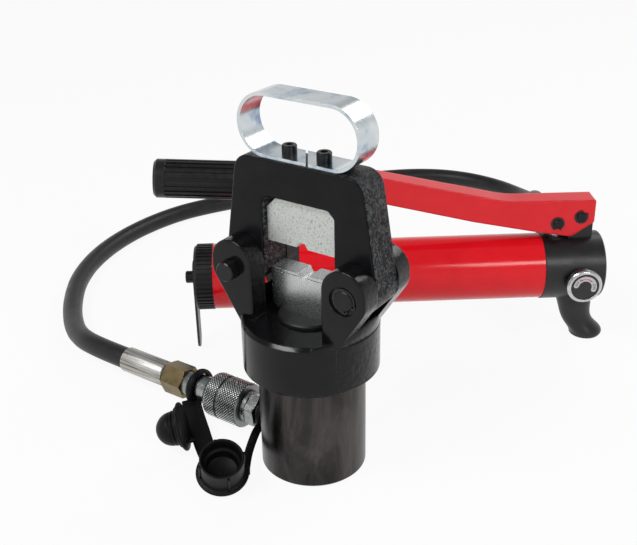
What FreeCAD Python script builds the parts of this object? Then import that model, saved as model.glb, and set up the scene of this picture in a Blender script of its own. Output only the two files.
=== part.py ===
import FreeCAD, Part
import math
import os

# Hydraulic crimping tool: a flip-top crimping head, its hose with screw coupler, and a lever hand pump.
# Millimetres. Origin: centre of the cylinder barrel's flat bottom. +X towards the gate's hinge pin,
# +Y to the back, +Z up. The pump is drawn in a frame of its own (its axis along +X, its front at -Y,
# the floor at z = 0) and then turned and set down behind the head.

Vec = FreeCAD.Vector
X_AXIS = Vec(1, 0, 0)
Y_AXIS = Vec(0, 1, 0)
Z_AXIS = Vec(0, 0, 1)

# Clearances
thread_gap = 0.08          # screwed and pushed-in pieces of one body, on the radius
running_gap = 0.05         # pins, ram, plunger and stem in their bores, on the radius
side_gap = 0.25            # between a moving cheek and its neighbour

# Cylinder
barrel_d = 98.0
bore_d = 74.0
barrel_floor = 18.0
sump_d = 48.0
sump_h = 20.0
barrel_engage = 25.0       # length screwed into the collar
barrel_edge = 2.0

# Clevis collar
collar_d = 124.0
collar_low = 103.0
collar_top = 152.5
collar_edge = 3.0
ear_thick = 19.8
ear_r = 21.5
ear_rise = 5.0             # how much taller than round the ear is
ear_edge = 1.8
ear_foot_x = 50.0
ear_foot_z = 146.0
wiper_w = 5.0
wiper_depth = 3.0

# Ram
piston_h = 24.0
rod_d = 58.0
rod_top = 156.0
seal_w = 6.0
seal_depth = 5.5
stroke = 24.7
spring_wire = 5.2
spring_turns = 6.5
spring_sides = 12

# Gate
pin_x = 58.0
pin_z = 197.5
pin_d = 18.0
yoke_thick = 33.0
yoke_foot_r = 21.3
yoke_top = 296.7
yoke_taper = 9.2           # degrees, outer flanks from upright
yoke_shoulder_r = 16.0
yoke_edge = 2.2
window_half = 36.5
window_top = 263.4
window_r = 8.0
lock_proud = 9.7           # how far the drawn lock pins stand out of the ears
circlip_t = 1.2
circlip_out = 11.0
circlip_seat = 2.6

# Dies
die_thick = 20.0
lower_die_half = 34.0
upper_die_half = 36.0
die_gap_top = 220.5
lower_die_h = 39.5
lower_die_edge = 5.0
upper_die_edge = 11.5
hex_af = 10.0
die_pin_d = 6.0
die_pin_l = 16.0
die_groove = 1.0

# Carry handle
strap_t = 3.0
strap_w = 27.4
strap_h = 56.0
strap_half = 61.0
strap_gap = 1.8
strap_gap_turn = 35.0
screw_x = 17.5
screw_d = 8.0
screw_head_d = 13.0
screw_head_h = 8.0
screw_socket_af = 6.0
screw_socket_depth = 4.2
screw_length = 18.0

# Oil port and screw coupler, along -X at the port's height
port_z = 27.5
port_thread_d = 17.0
port_thread_l = 14.0
port_spot_d = 30.0
oil_hole_d = 8.0
shank_d = 22.0
shank_l = 12.0
nipple_af = 30.0
nipple_hex_l = 11.0
nipple_hex_turn = 55.0
nipple_flange_d = 33.0
nipple_flange_l = 5.0
nipple_nose_d = 30.0
nipple_nose_l = 20.0
sleeve_gap = 0.6
sleeve_d = 44.0
sleeve_l = 45.4
sleeve_groove = 1.8
sleeve_groove_at = 26.0
sleeve_taper = 5.0
neck_d = 26.8
neck_l = 31.0
hose_nut_af = 30.0
hose_nut_l = 26.0
hose_nut_turn = 41.0
hose_collar_d = 22.0
hose_collar_l = 4.0
ferrule_d = 26.3
ferrule_l = 57.0

# Pump
pump_at = Vec(-231, 98, 0)
pump_turn = 37.0
axis_z = 87.0
plate_t = 2.6
plate_x = 2.0
plate_half = 12.5
plate_top = 105.5
cap_r = 36.4
cap_l = 20.4
cap_ribs = 44
cap_spigot = 15.0
tie_d = 8.0
tie_head_d = 13.5
tie_head_h = 8.6
tube_d = 72.0
tube_wall = 3.0
tube_end = 386.0
block_r = 37.0
block_l = 66.0
block_edge = 1.5
fulcrum_x = tube_end + 39.4
fulcrum_z = 148.8
link_x = fulcrum_x - 25.2
link_z = 141.9
lever_pin_d = 10.0
lug_r = 10.5
channel_t = 3.0
channel_room = 1.0         # between the channel's cheeks and the plunger
lever_pin_end = 3.4
lever_clip_t = 1.0
lever_clip_out = 7.4
grip_x0 = -31.0
grip_z0 = 204.5
grip_l = 123.0
grip_slope = 3.6
grip_r = 20.5
grip_ribs = 20
bar_d = 24.0
channel_start = 172.0
plunger_d = 16.0
channel_w = plunger_d + 2 * (channel_room + channel_t)
plunger_low = 72.0
plunger_chamber = 3.0
plunger_shift = 0.5        # plunger's axis from the link pin's rest place, splitting the arc
gland_wall = 4.0
gland_d = plunger_d + 2 * gland_wall
gland_l = 17.0
gland_proud = 1.2
gland_seal_w = 4.0
gland_seal_depth = 2.6
slot_low = 0.5             # clearance above and below the link pin in the plunger's eye
slot_left = 1.2            # room for the pin's arc on the tube's side of the eye
slot_right = 2.3           # and on the fulcrum's side
knob_x = tube_end + 39.5
knob_z = 82.6
knob_r = 19.0
knob_l = 8.5
knob_out = 50.0            # knob's front face from the pump's axis
dial_r = 15.2
dial_depth = 1.2
stem_d = 10.0
stem_in = 12.0
ball_d = 7.0
foot_x = tube_end + 60.0    # middle of the foot's pad
foot_screw_x = tube_end + 51.0
outlet_x = tube_end + 44.0
outlet_flat = 35.0
outlet_hex_l = 12.0

# Hose: outer diameter, its straight run at the pump, and its route from the head's ferrule
hose_d = 23.0
hose_last_run = 64.0
hose_route = [
    (-241.0, 0.0, 27.5), (-289.0, 0.0, 27.5), (-336.0, 16.5, 19.0), (-377.0, 45.0, 12.8),
    (-414.0, 79.0, 11.8), (-452.0, 124.0, 11.8), (-480.0, 177.0, 11.9), (-497.0, 236.0, 11.8),
    (-501.0, 300.0, 11.8), (-491.0, 365.0, 11.9), (-463.0, 424.0, 11.8), (-421.0, 490.0, 11.8),
    (-374.0, 566.0, 11.9), (-325.0, 634.0, 11.8), (-266.0, 686.0, 11.8), (-207.4, 706.2, 11.9),
    (-145.6, 701.9, 12.5), (-90.9, 672.8, 17.0), (-51.0, 625.3, 33.0), (-31.0, 569.0, 60.0)]

# Dust caps of the coupler, lying and hanging where the photograph shows them
cup_way = Vec(-45, -81, 0)               # which way the cap lies, seen from the barrel's axis
cup_from_barrel = 43.6607                # its middle from the barrel's wall
cup_base_z = 12.2
cup_tilt = 25.0
cup_towards = Vec(0.671, -0.741, 0)
cup_flange_r = 24.5
cup_r = 20.2
cup_wall = 2.6
cup_h = 27.0
cup_ribs = 8
plug_from_ring = Vec(26, -64, 25.0)     # plug's flange, along X from its strap's ring
plug_towards = Vec(-0.80, -0.59, -0.06)
plug_flange_r = 23.5
plug_r = 16.3
plug_l = 27.0
cap_strap_t = 3.0
plug_strap_w = 16.0


def cylinder(radius, length, at, axis=Z_AXIS):
    return Part.makeCylinder(radius, length, at, axis)


def ring(outer, inner, length, at, axis=Z_AXIS):
    return cylinder(outer, length, at, axis).cut(cylinder(inner, length, at, axis))


def block_between(low, high):
    return Part.makeBox(high[0] - low[0], high[1] - low[1], high[2] - low[2], Vec(*low))


def rounded_wire(corners):
    """Closed wire through corners (x, z, radius), each corner rounded by a tangent arc."""
    edges = []
    ends = []
    count = len(corners)
    for i in range(count):
        here = Vec(corners[i][0], 0, corners[i][1])
        back = Vec(corners[i - 1][0], 0, corners[i - 1][1]) - here
        ahead = Vec(corners[(i + 1) % count][0], 0, corners[(i + 1) % count][1]) - here
        radius = corners[i][2]
        if radius <= 0:
            ends.append((here, here, None))
            continue
        half = back.getAngle(ahead) / 2
        back.normalize()
        ahead.normalize()
        reach = radius / math.tan(half)
        start = here + back * reach
        finish = here + ahead * reach
        bisector = back + ahead
        bisector.normalize()
        middle = here + bisector * (radius / math.sin(half) - radius)
        ends.append((start, finish, middle))
    for i in range(count):
        start, finish, middle = ends[i]
        if middle is not None:
            edges.append(Part.Arc(start, middle, finish).toShape())
        following = ends[(i + 1) % count][0]
        if (following - finish).Length > 1e-6:
            edges.append(Part.LineSegment(finish, following).toShape())
    return Part.Wire(edges)


def plate(corners, y_low, y_high):
    """Solid of a rounded outline in the XZ plane, between two values of y."""
    face = Part.Face(rounded_wire(corners))
    face.translate(Vec(0, y_low, 0))
    return face.extrude(Vec(0, y_high - y_low, 0))


def turned(profile, at, axis):
    """Solid of revolution: profile is (radius, distance along the axis) points, from at along axis."""
    points = [Vec(r, 0, s) for r, s in profile]
    face = Part.Face(Part.makePolygon(points + [points[0]]))
    solid = face.revolve(Vec(0, 0, 0), Z_AXIS, 360)
    solid.Placement = FreeCAD.Placement(at, FreeCAD.Rotation(Z_AXIS, axis))
    return solid


def hexagon(across, length, at, axis, edge=1.2, turn=0.0):
    """Hexagon bar with turned-down corners at both ends."""
    corner = across / math.sqrt(3)
    angles = [math.radians(60 * i + turn) for i in range(7)]
    points = [Vec(corner * math.cos(a), corner * math.sin(a), 0) for a in angles]
    bar = Part.Face(Part.makePolygon(points)).extrude(Vec(0, 0, length))
    rim = across / 2 + 0.3
    cone = turned([(0, 0), (rim, 0), (rim + edge * 2, edge), (rim + edge * 2, length - edge),
                   (rim, length), (0, length)], Vec(0, 0, 0), Z_AXIS)
    bar = bar.common(cone)
    bar.Placement = FreeCAD.Placement(at, FreeCAD.Rotation(Z_AXIS, axis))
    return bar


def soften(solid, radius, chosen):
    """Fillet the edges of solid for which chosen(edge) is true."""
    edges = [edge for edge in solid.Edges if chosen(edge)]
    return solid.makeFillet(radius, edges)


def on_face_y(edge, value):
    box = edge.BoundBox
    return abs(box.YMin - value) < 1e-6 and abs(box.YMax - value) < 1e-6


def circlip(inner, outer, thick, at, axis, open_to):
    """Retaining ring with a gap and two lugs, open_to pointing across the axis at the gap."""
    band = ring(outer, inner, thick, at, axis)
    side = axis.cross(open_to)
    side.normalize()
    middle = at + open_to * outer
    width = outer * 0.30
    slot = Part.makeBox(outer * 2, width * 2, thick * 3)
    slot.Placement = FreeCAD.Placement(Vec(0, 0, 0), FreeCAD.Rotation(open_to, side, axis, "XYZ"))
    slot.translate(at - side * width - axis * thick)
    band = band.cut(slot)
    for sign in (-1, 1):
        lug = cylinder(width * 0.8, thick, middle - open_to * width * 0.9 + side * sign * width * 1.45, axis)
        lug = lug.cut(cylinder(inner, thick * 3, at - axis * thick, axis))
        hole = cylinder(width * 0.3, thick * 3,
                        middle - open_to * width * 0.8 + side * sign * width * 1.5 - axis * thick, axis)
        band = band.fuse(lug).cut(hole)
    return band


def grooved_pin(radius, length, at, axis, groove_at, groove_w, groove_depth, edge):
    """Round pin with turned edges and a groove at the same distance from both ends."""
    profile = [(0, 0), (radius - edge, 0), (radius, edge)]
    for start in (groove_at, length - groove_at - groove_w):
        profile += [(radius, start), (radius - groove_depth, start),
                    (radius - groove_depth, start + groove_w), (radius, start + groove_w)]
    profile += [(radius, length - edge), (radius - edge, length), (0, length)]
    return turned(profile, at, axis)


# Cylinder and ram

def make_barrel():
    outer = barrel_d / 2
    top = collar_low + barrel_engage
    floor = barrel_floor + sump_h
    barrel = turned([(0, 0), (outer - barrel_edge, 0), (outer, barrel_edge), (outer, top - barrel_edge),
                     (outer - barrel_edge, top), (bore_d / 2, top), (bore_d / 2, floor),
                     (sump_d / 2, floor), (sump_d / 2, barrel_floor), (0, barrel_floor)],
                    Vec(0, 0, 0), Z_AXIS)
    thread = cylinder(port_thread_d / 2 + thread_gap, port_thread_l + 1,
                      Vec(-outer - 1 + 0.001, 0, port_z), X_AXIS)
    oil_hole = cylinder(oil_hole_d / 2, outer, Vec(-outer, 0, port_z), X_AXIS)
    spot = cylinder(port_spot_d / 2, 10, Vec(port_face_x(), 0, port_z), X_AXIS * -1)
    return barrel.cut(thread).cut(oil_hole).cut(spot)


def port_face_x():
    """Plane of the spot face that the nipple seats on."""
    return -math.sqrt((barrel_d / 2) ** 2 - (port_spot_d / 2) ** 2)


def make_collar():
    outer = collar_d / 2
    seat = collar_low + barrel_engage
    rod_hole = rod_d / 2 + running_gap
    groove = rod_d / 2 + wiper_depth
    wiper_low = collar_top - 3.5 - wiper_w
    collar = turned([(barrel_d / 2 + thread_gap, collar_low), (outer - collar_edge, collar_low),
                     (outer, collar_low + collar_edge), (outer, collar_top - collar_edge),
                     (outer - collar_edge, collar_top), (rod_hole, collar_top),
                     (rod_hole, wiper_low + wiper_w), (groove, wiper_low + wiper_w),
                     (groove, wiper_low), (rod_hole, wiper_low), (rod_hole, seat),
                     (barrel_d / 2 + thread_gap, seat)], Vec(0, 0, 0), Z_AXIS)
    inner_face = yoke_thick / 2 + side_gap
    outer_face = inner_face + ear_thick
    for side in (-1, 1):
        for front in (-1, 1):
            low, high = sorted((front * inner_face, front * outer_face))
            collar = collar.fuse(make_ear(side, low, high, front * outer_face))
    hole_r = pin_d / 2 + running_gap
    for side in (-1, 1):
        collar = collar.cut(cylinder(hole_r, 2 * outer_face + 2, Vec(side * pin_x, -outer_face - 1, pin_z), Y_AXIS))
    seat_r = circlip_out + 2.2
    for front in (-1, 1):
        start = Vec(pin_x, front * (outer_face + 1), pin_z)
        collar = collar.cut(cylinder(seat_r, circlip_seat + 1, start, Y_AXIS * -front))
    return collar


def make_ear(side, low, high, outer_face):
    """One clevis ear: straight inner edge, tall round top, outer edge sloping in to the collar."""
    inner_x = pin_x - ear_r
    outer_x = pin_x + ear_r
    top = pin_z + ear_rise + ear_r
    bottom = collar_top - 10
    corners = [(inner_x, bottom, 0), (inner_x, top, ear_r - 0.01), (outer_x, top, ear_r - 0.01),
               (outer_x, pin_z - 6, 18), (ear_foot_x, ear_foot_z, 0), (ear_foot_x, bottom, 0)]
    ear = plate([(side * x, z, r) for x, z, r in corners], low, high)
    return soften(ear, ear_edge, lambda e: on_face_y(e, outer_face) and e.BoundBox.ZMax > collar_top + 4)


def make_wiper():
    low = collar_top - 3.5 - wiper_w
    return ring(rod_d / 2 + wiper_depth - thread_gap, rod_d / 2 + running_gap, wiper_w - 0.2,
                Vec(0, 0, low + 0.1))


def piston_base():
    return barrel_floor + sump_h + 0.2


def make_ram():
    base = piston_base()
    piston_r = bore_d / 2 - running_gap
    groove_low = base + 9
    ram = turned([(0, base), (piston_r - 1, base), (piston_r, base + 1), (piston_r, groove_low),
                  (piston_r - seal_depth, groove_low), (piston_r - seal_depth, groove_low + seal_w),
                  (piston_r, groove_low + seal_w), (piston_r, base + piston_h), (rod_d / 2, base + piston_h),
                  (rod_d / 2, rod_top - 1.5), (rod_d / 2 - 1.5, rod_top), (0, rod_top)],
                 Vec(0, 0, 0), Z_AXIS)
    hole = cylinder(die_pin_d / 2 + thread_gap, die_pin_l, Vec(0, 0, rod_top - 10))
    return ram.cut(hole)


def make_seal():
    piston_r = bore_d / 2 - running_gap
    return ring(piston_r, piston_r - seal_depth + thread_gap, seal_w - 0.2, Vec(0, 0, piston_base() + 9.1))


def make_spring():
    """Return spring, its coil drawn as short straight lengths with mitred joints."""
    low = piston_base() + piston_h + spring_wire / 2 + 0.15
    high = collar_low + barrel_engage - spring_wire / 2 - 0.15
    radius = (rod_d / 2 + bore_d / 2) / 2
    count = int(spring_turns * spring_sides)
    points = []
    for i in range(count + 1):
        angle = 2 * math.pi * spring_turns * i / count
        points.append(Vec(radius * math.cos(angle), radius * math.sin(angle), low + (high - low) * i / count))
    path = Part.makePolygon(points)
    profile = Part.Wire([Part.Circle(points[0], points[1] - points[0], spring_wire / 2).toShape()])
    return path.makePipeShell([profile], True, False, 1)


# Dies and gate

def hex_notch(z, down):
    """Half of the crimp hexagon, corner to corner on the parting line."""
    corner = hex_af / math.sqrt(3)
    depth = hex_af / 2
    sign = -1 if down else 1
    return plate([(-corner, z, 0), (-corner / 2, z + sign * depth, 0), (corner / 2, z + sign * depth, 0),
                  (corner, z, 0), (corner, z - sign, 0), (-corner, z - sign, 0)],
                 -die_thick / 2 - 1, die_thick / 2 + 1)


def make_lower_die():
    top = rod_top + lower_die_h
    half = lower_die_half
    die = plate([(-half, rod_top + lower_die_edge, 0), (-half + lower_die_edge, rod_top, 0),
                 (half - lower_die_edge, rod_top, 0), (half, rod_top + lower_die_edge, 0),
                 (half, top, 0), (-half, top, 0)], -die_thick / 2, die_thick / 2)
    die = die.cut(hex_notch(top, True))
    for front in (-1, 1):
        y = front * die_thick / 2
        line = block_between((-half - 1, min(y, y - front * 0.9), top - 3.2),
                             (half + 1, max(y, y - front * 0.9), top - 3.2 + die_groove))
        die = die.cut(line)
    return die.cut(cylinder(die_pin_d / 2 + thread_gap, 8, Vec(0, 0, rod_top - 1)))


def make_upper_die():
    low = die_gap_top
    top = window_top - 0.15
    half = upper_die_half
    die = plate([(-half, low, 0), (half, low, 0), (half, top - upper_die_edge, 0),
                 (half - upper_die_edge, top, 0), (-half + upper_die_edge, top, 0),
                 (-half, top - upper_die_edge, 0)], -die_thick / 2, die_thick / 2)
    die = die.cut(hex_notch(low, False))
    return die.cut(cylinder(die_pin_d / 2 + thread_gap, 8, Vec(0, 0, top - 7)))


def make_die_pin(z):
    r = die_pin_d / 2
    return turned([(0, 0), (r - 0.6, 0), (r, 0.6), (r, die_pin_l - 1.2), (r - 0.6, die_pin_l - 0.6),
                   (0, die_pin_l - 0.6)], Vec(0, 0, z), Z_AXIS)


def make_yoke():
    slope = math.radians(yoke_taper)
    tangent_x = pin_x + yoke_foot_r * math.cos(slope)
    tangent_z = pin_z + yoke_foot_r * math.sin(slope)
    top_x = tangent_x - (yoke_top - tangent_z) * math.tan(slope)
    corners = [(-tangent_x, tangent_z, 0), (-top_x, yoke_top, yoke_shoulder_r),
               (top_x, yoke_top, yoke_shoulder_r), (tangent_x, tangent_z, 0), (pin_x, pin_z - 1, 0),
               (window_half, pin_z, 0), (window_half, window_top, window_r),
               (-window_half, window_top, window_r), (-window_half, pin_z, 0), (-pin_x, pin_z - 1, 0)]
    half = yoke_thick / 2
    yoke = plate(corners, -half, half)
    yoke = soften(yoke, yoke_edge, lambda e: (on_face_y(e, -half) or on_face_y(e, half))
                  and e.BoundBox.ZMax > tangent_z + 1)
    for side in (-1, 1):
        yoke = yoke.fuse(cylinder(yoke_foot_r, yoke_thick, Vec(side * pin_x, -half, pin_z), Y_AXIS))
    for side in (-1, 1):
        yoke = yoke.cut(cylinder(pin_d / 2 + running_gap, yoke_thick + 2,
                                 Vec(side * pin_x, -half - 1, pin_z), Y_AXIS))
        yoke = yoke.cut(cylinder(screw_d / 2 + thread_gap, screw_length,
                                 Vec(side * screw_x, 0, yoke_top - screw_length)))
    return yoke.cut(cylinder(die_pin_d / 2 + thread_gap, 12, Vec(0, 0, window_top - 1)))


def make_handle():
    low = yoke_top
    high = yoke_top + strap_h
    r = strap_h / 2
    outer = plate([(-strap_half, low, r - 0.01), (strap_half, low, r - 0.01),
                   (strap_half, high, r - 0.01), (-strap_half, high, r - 0.01)], -strap_w / 2, strap_w / 2)
    t = strap_t
    inner = plate([(-strap_half + t, low + t, r - t - 0.01), (strap_half - t, low + t, r - t - 0.01),
                   (strap_half - t, high - t, r - t - 0.01), (-strap_half + t, high - t, r - t - 0.01)],
                  -strap_w / 2 - 1, strap_w / 2 + 1)
    strap = outer.cut(inner)
    for side in (-1, 1):
        strap = strap.cut(cylinder(screw_d / 2 + 0.3, t + 2, Vec(side * screw_x, 0, low - 1)))
    gap = block_between((-strap_gap / 2, -strap_w, low - 1), (strap_gap / 2, strap_w, low + t + 1))
    gap.rotate(Vec(0, 0, 0), Z_AXIS, strap_gap_turn)
    return strap.cut(gap)


def socket_screw(at, down, head_d, head_h, shank_d, shank_l, socket_af):
    """Socket head cap screw: at is the centre of the head's underside, down the way the shank goes."""
    up = down * -1
    screw = turned([(0, -shank_l), (shank_d / 2 - 0.6, -shank_l), (shank_d / 2, -shank_l + 0.6),
                    (shank_d / 2, 0), (head_d / 2, 0), (head_d / 2, head_h - 0.8),
                    (head_d / 2 - 0.8, head_h), (0, head_h)], at, up)
    socket = hexagon(socket_af, head_h, at + up * (head_h - screw_socket_depth), up, 0.01)
    return screw.cut(socket)


def make_handle_screws():
    screws = [socket_screw(Vec(side * screw_x, 0, yoke_top + strap_t), Z_AXIS * -1, screw_head_d,
                           screw_head_h, screw_d, screw_length + strap_t - 1, screw_socket_af)
              for side in (-1, 1)]
    return Part.makeCompound(screws)


def ear_face():
    return yoke_thick / 2 + side_gap + ear_thick


def make_hinge_pin():
    length = 2 * ear_face() - 0.4
    at = Vec(pin_x, -length / 2, pin_z)
    groove_at = circlip_seat - 0.2 - circlip_t - 0.05
    return grooved_pin(pin_d / 2, length, at, Y_AXIS, groove_at, circlip_t + 0.1, 0.6, 0.8)


def make_hinge_circlips():
    inner = pin_d / 2 - 0.6 + 0.06
    clips = []
    open_to = Vec(0.62, 0, -0.785)
    for front in (-1, 1):
        face = ear_face() - circlip_seat
        at = Vec(pin_x, front * face, pin_z)
        clips.append(circlip(inner, circlip_out, circlip_t, at, Y_AXIS * front, open_to))
    return Part.makeCompound(clips)


def make_lock_pin(front):
    inner_end = yoke_thick / 2 + side_gap + 0.3
    outer_end = ear_face() + lock_proud
    r = pin_d / 2
    length = outer_end - inner_end
    return turned([(0, 0), (r - 1.2, 0), (r, 1.2), (r, length - 1), (r - 1, length), (0, length)],
                  Vec(-pin_x, front * inner_end, pin_z), Y_AXIS * front)


# Nipple, coupler and hose ends, along an axis from at

def coupler_x():
    """Places along -X: nipple hexagon, sleeve, neck, hose nut, hose collar and ferrule."""
    hexagon_at = -barrel_d / 2 - shank_l
    sleeve_at = hexagon_at - nipple_hex_l - nipple_flange_l - sleeve_gap
    neck_at = sleeve_at - sleeve_l
    nut_at = neck_at - neck_l
    collar_at = nut_at - hose_nut_l
    return hexagon_at, sleeve_at, neck_at, nut_at, collar_at


def make_nipple():
    hexagon_at = coupler_x()[0]
    west = X_AXIS * -1
    r = shank_d / 2
    face = port_face_x()
    flange_from = face - hexagon_at + nipple_hex_l
    flange_to = flange_from + nipple_flange_l
    nose_to = flange_to + nipple_nose_l
    body = turned([(oil_hole_d / 2, -port_thread_l + 3), (port_thread_d / 2 - 1, -port_thread_l + 3),
                   (port_thread_d / 2, -port_thread_l + 4), (port_thread_d / 2, 0), (r, 0),
                   (r, flange_from), (nipple_flange_d / 2, flange_from),
                   (nipple_flange_d / 2, flange_to - 1), (nipple_flange_d / 2 - 1, flange_to),
                   (nipple_nose_d / 2, flange_to), (nipple_nose_d / 2, nose_to - 2),
                   (nipple_nose_d / 2 - 2, nose_to), (oil_hole_d / 2, nose_to)],
                  Vec(face, 0, port_z), west)
    at = Vec(hexagon_at, 0, port_z)
    nut = hexagon(nipple_af, nipple_hex_l, at, west, 1.0, nipple_hex_turn)
    return body.fuse(nut.cut(cylinder(oil_hole_d / 2, nipple_hex_l, at, west))).removeSplitter()


def make_sleeve():
    outer = sleeve_d / 2
    bore = nipple_nose_d / 2 + 0.35
    low = sleeve_groove_at - sleeve_groove / 2
    high = sleeve_groove_at + sleeve_groove / 2
    neck = neck_d / 2 + 0.35
    return turned([(bore, 0), (outer - 1.2, 0), (outer, 1.2), (outer, low), (outer - 1.2, low + 0.3),
                   (outer - 1.2, high - 0.3), (outer, high), (outer, sleeve_l - sleeve_taper),
                   (outer - sleeve_taper, sleeve_l), (neck, sleeve_l), (neck, sleeve_l - 3),
                   (bore, sleeve_l - 3)], Vec(coupler_x()[1], 0, port_z), X_AXIS * -1)


def make_coupler_body():
    hexagon_at, _, neck_at, nut_at, _ = coupler_x()
    nose_end = hexagon_at - nipple_hex_l - nipple_flange_l - nipple_nose_l
    start = nose_end - 0.3
    head = start - (neck_at + 3.35)
    length = start - nut_at
    body_r = nipple_nose_d / 2
    hole = oil_hole_d / 2
    return turned([(hole, 0), (body_r - 1, 0), (body_r, 1), (body_r, head), (neck_d / 2, head),
                   (neck_d / 2, length), (hole, length)], Vec(start, 0, port_z), X_AXIS * -1)


def make_hose_nut(at, axis):
    hole = cylinder(6, hose_nut_l, at, axis)
    return hexagon(hose_nut_af, hose_nut_l, at, axis, 2.0, hose_nut_turn).cut(hole)


def make_ferrule(at, axis):
    """Ferrule with the short collar of its insert at the nut's end."""
    r = ferrule_d / 2
    end = hose_collar_l + ferrule_l
    return turned([(0, 0), (hose_collar_d / 2, 0), (hose_collar_d / 2, 1), (hose_collar_d / 2 - 1, 1),
                   (hose_collar_d / 2 - 1, hose_collar_l), (r - 0.8, hose_collar_l),
                   (r, hose_collar_l + 1.6), (r, end - 0.8), (r - 0.8, end), (0, end)], at, axis)


def cord_wire(points):
    """Straight runs joined by tangent arcs, each arc's radius 0.45 of the shorter run / tan(half turn)."""
    edges = []
    last = points[0]
    radii = []
    for before, here, after in zip(points, points[1:], points[2:]):
        back = before - here
        ahead = after - here
        turn = math.pi - back.getAngle(ahead)
        reach = 0.45 * min(back.Length, ahead.Length)
        radius = reach / math.tan(turn / 2)
        radii.append(radius)
        back.normalize()
        ahead.normalize()
        start = here + back * reach
        finish = here + ahead * reach
        bisector = back + ahead
        bisector.normalize()
        middle = here + bisector * (radius / math.cos(turn / 2) - radius)
        edges.append(Part.LineSegment(last, start).toShape())
        edges.append(Part.Arc(start, middle, finish).toShape())
        last = finish
    edges.append(Part.LineSegment(last, points[-1]).toShape())
    return Part.Wire(edges), radii


def make_hose():
    points = [Vec(*p) for p in hose_route]
    for along in (hose_last_run, 0):
        points.append(pump_to_world(Vec(outlet_x, ferrule_end_y() + along, axis_z)))
    path, radii = cord_wire(points)
    start = path.Edges[0]
    along = start.tangentAt(start.FirstParameter)
    profile = Part.Wire([Part.Circle(points[0], along, hose_d / 2).toShape()])
    hose = path.makePipeShell([profile], True, False)
    expected = math.pi * hose_d ** 2 / 4 * path.Length
    print("hose length %.0f, smallest radius %.0f, volume %.4f of section times length"
          % (path.Length, min(radii), hose.Volume / expected))
    print("hose radii", " ".join("%.0f" % r for r in radii))
    return hose


# Dust caps

def flat_bar(start, finish, normal, width, thick):
    """Straight strap from start to finish whose flat side faces normal."""
    along = finish - start
    length = along.Length
    along.normalize()
    across = normal.cross(along)
    across.normalize()
    up = along.cross(across)
    bar = Part.makeBox(length, width, thick, Vec(0, -width / 2, -thick / 2))
    bar.Placement = FreeCAD.Placement(start, FreeCAD.Rotation(along, across, up, "XYZ"))
    return bar


def make_dust_cap():
    """Moulded cap: ribbed cup with a flanged base, its strap and the ring round the nipple's shank."""
    towards = Vec(cup_towards)
    towards.normalize()
    tilt = math.radians(cup_tilt)
    axis = Z_AXIS * math.cos(tilt) + towards * math.sin(tilt)
    cup_at = Vec(cup_way)
    cup_at.normalize()
    cup_at = cup_at * (barrel_d / 2 + cup_from_barrel) + Z_AXIS * cup_base_z
    cup = turned([(0, 0), (cup_flange_r - 1, 0), (cup_flange_r, 1), (cup_flange_r, 3), (cup_r, 3),
                  (cup_r, cup_h), (cup_r - cup_wall, cup_h), (cup_r - cup_wall, 14),
                  (cup_r - cup_wall - 3, 14), (cup_r - cup_wall - 3, 4), (0, 4)], cup_at, axis)
    for i in range(cup_ribs):
        angle = 2 * math.pi * (i + 0.3) / cup_ribs
        rib = block_between((cup_r - 0.5, -1.2, 2.9), (cup_r + 1.6, 1.2, cup_h - 3))
        rib.rotate(Vec(0, 0, 0), Z_AXIS, math.degrees(angle))
        rib.Placement = FreeCAD.Placement(cup_at, FreeCAD.Rotation(Z_AXIS, axis)).multiply(rib.Placement)
        cup = cup.fuse(rib)
    ring_x = -barrel_d / 2 - 3.5
    loop = ring(shank_d / 2 + 4.8, shank_d / 2 + 0.3, 6, Vec(ring_x, 0, port_z), X_AXIS * -1)
    start = Vec(ring_x - 3, -10.5, port_z - 9.5)
    finish = cup_at + Vec(11.0, 19.0, 9.5)
    strap = flat_bar(start, finish, Vec(0.5, -0.2, 1), 8.0, cap_strap_t)
    body = cup.fuse(loop).fuse(strap)
    return body.cut(cylinder(shank_d / 2 + 0.3, shank_l + 6, Vec(-barrel_d / 2 + 3, 0, port_z), X_AXIS * -1))


def make_dust_plug():
    """Moulded plug: domed plug with a flange, its wide strap and the ring round the coupler's neck."""
    ring_x = coupler_x()[2] - 14.0
    plug_at = Vec(ring_x, 0, 0) + plug_from_ring
    axis = Vec(plug_towards)
    axis.normalize()
    dome = [(plug_r * math.cos(a), plug_l - plug_r + plug_r * math.sin(a))
            for a in [math.radians(15 * i) for i in range(7)]]
    plug = turned([(0, 0), (plug_flange_r, 0), (plug_flange_r, 2.4), (plug_r + 2.6, 2.4),
                   (plug_r + 2.6, 5.5), (plug_r, 5.5)] + dome[:-1] + [(0, plug_l)], plug_at, axis)
    loop = ring(neck_d / 2 + 5.5, neck_d / 2 + 0.35, 8, Vec(ring_x, 0, port_z), X_AXIS * -1)
    strap = None
    path = [Vec(ring_x - 4, -13.5, 18.5), Vec(ring_x + 32, -42, 11.5), Vec(ring_x + 61, -62, 4.0)]
    for start, finish in zip(path, path[1:]):
        bar = flat_bar(start, finish, Vec(0.1, -0.25, 1), plug_strap_w, cap_strap_t)
        strap = bar if strap is None else strap.fuse(bar)
    tab = flat_bar(Vec(ring_x + 31, -45, 11.0), plug_at + Vec(2.0, 2.0, -12.0), Vec(0, 0, 1), 12.0, cap_strap_t)
    body = plug.fuse(loop).fuse(strap).fuse(tab)
    return body.cut(cylinder(neck_d / 2 + 0.35, 60, Vec(ring_x + 20, 0, port_z), X_AXIS * -1))


# Pump

def pump_to_world(point):
    turn = FreeCAD.Rotation(Z_AXIS, pump_turn)
    return pump_at + turn.multVec(point)


def settle(shape):
    """Turn and move a shape from the pump's own frame to its place behind the head."""
    shape.Placement = FreeCAD.Placement(pump_at, FreeCAD.Rotation(Z_AXIS, pump_turn)).multiply(shape.Placement)
    return shape


def block_start():
    return tube_end


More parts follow.
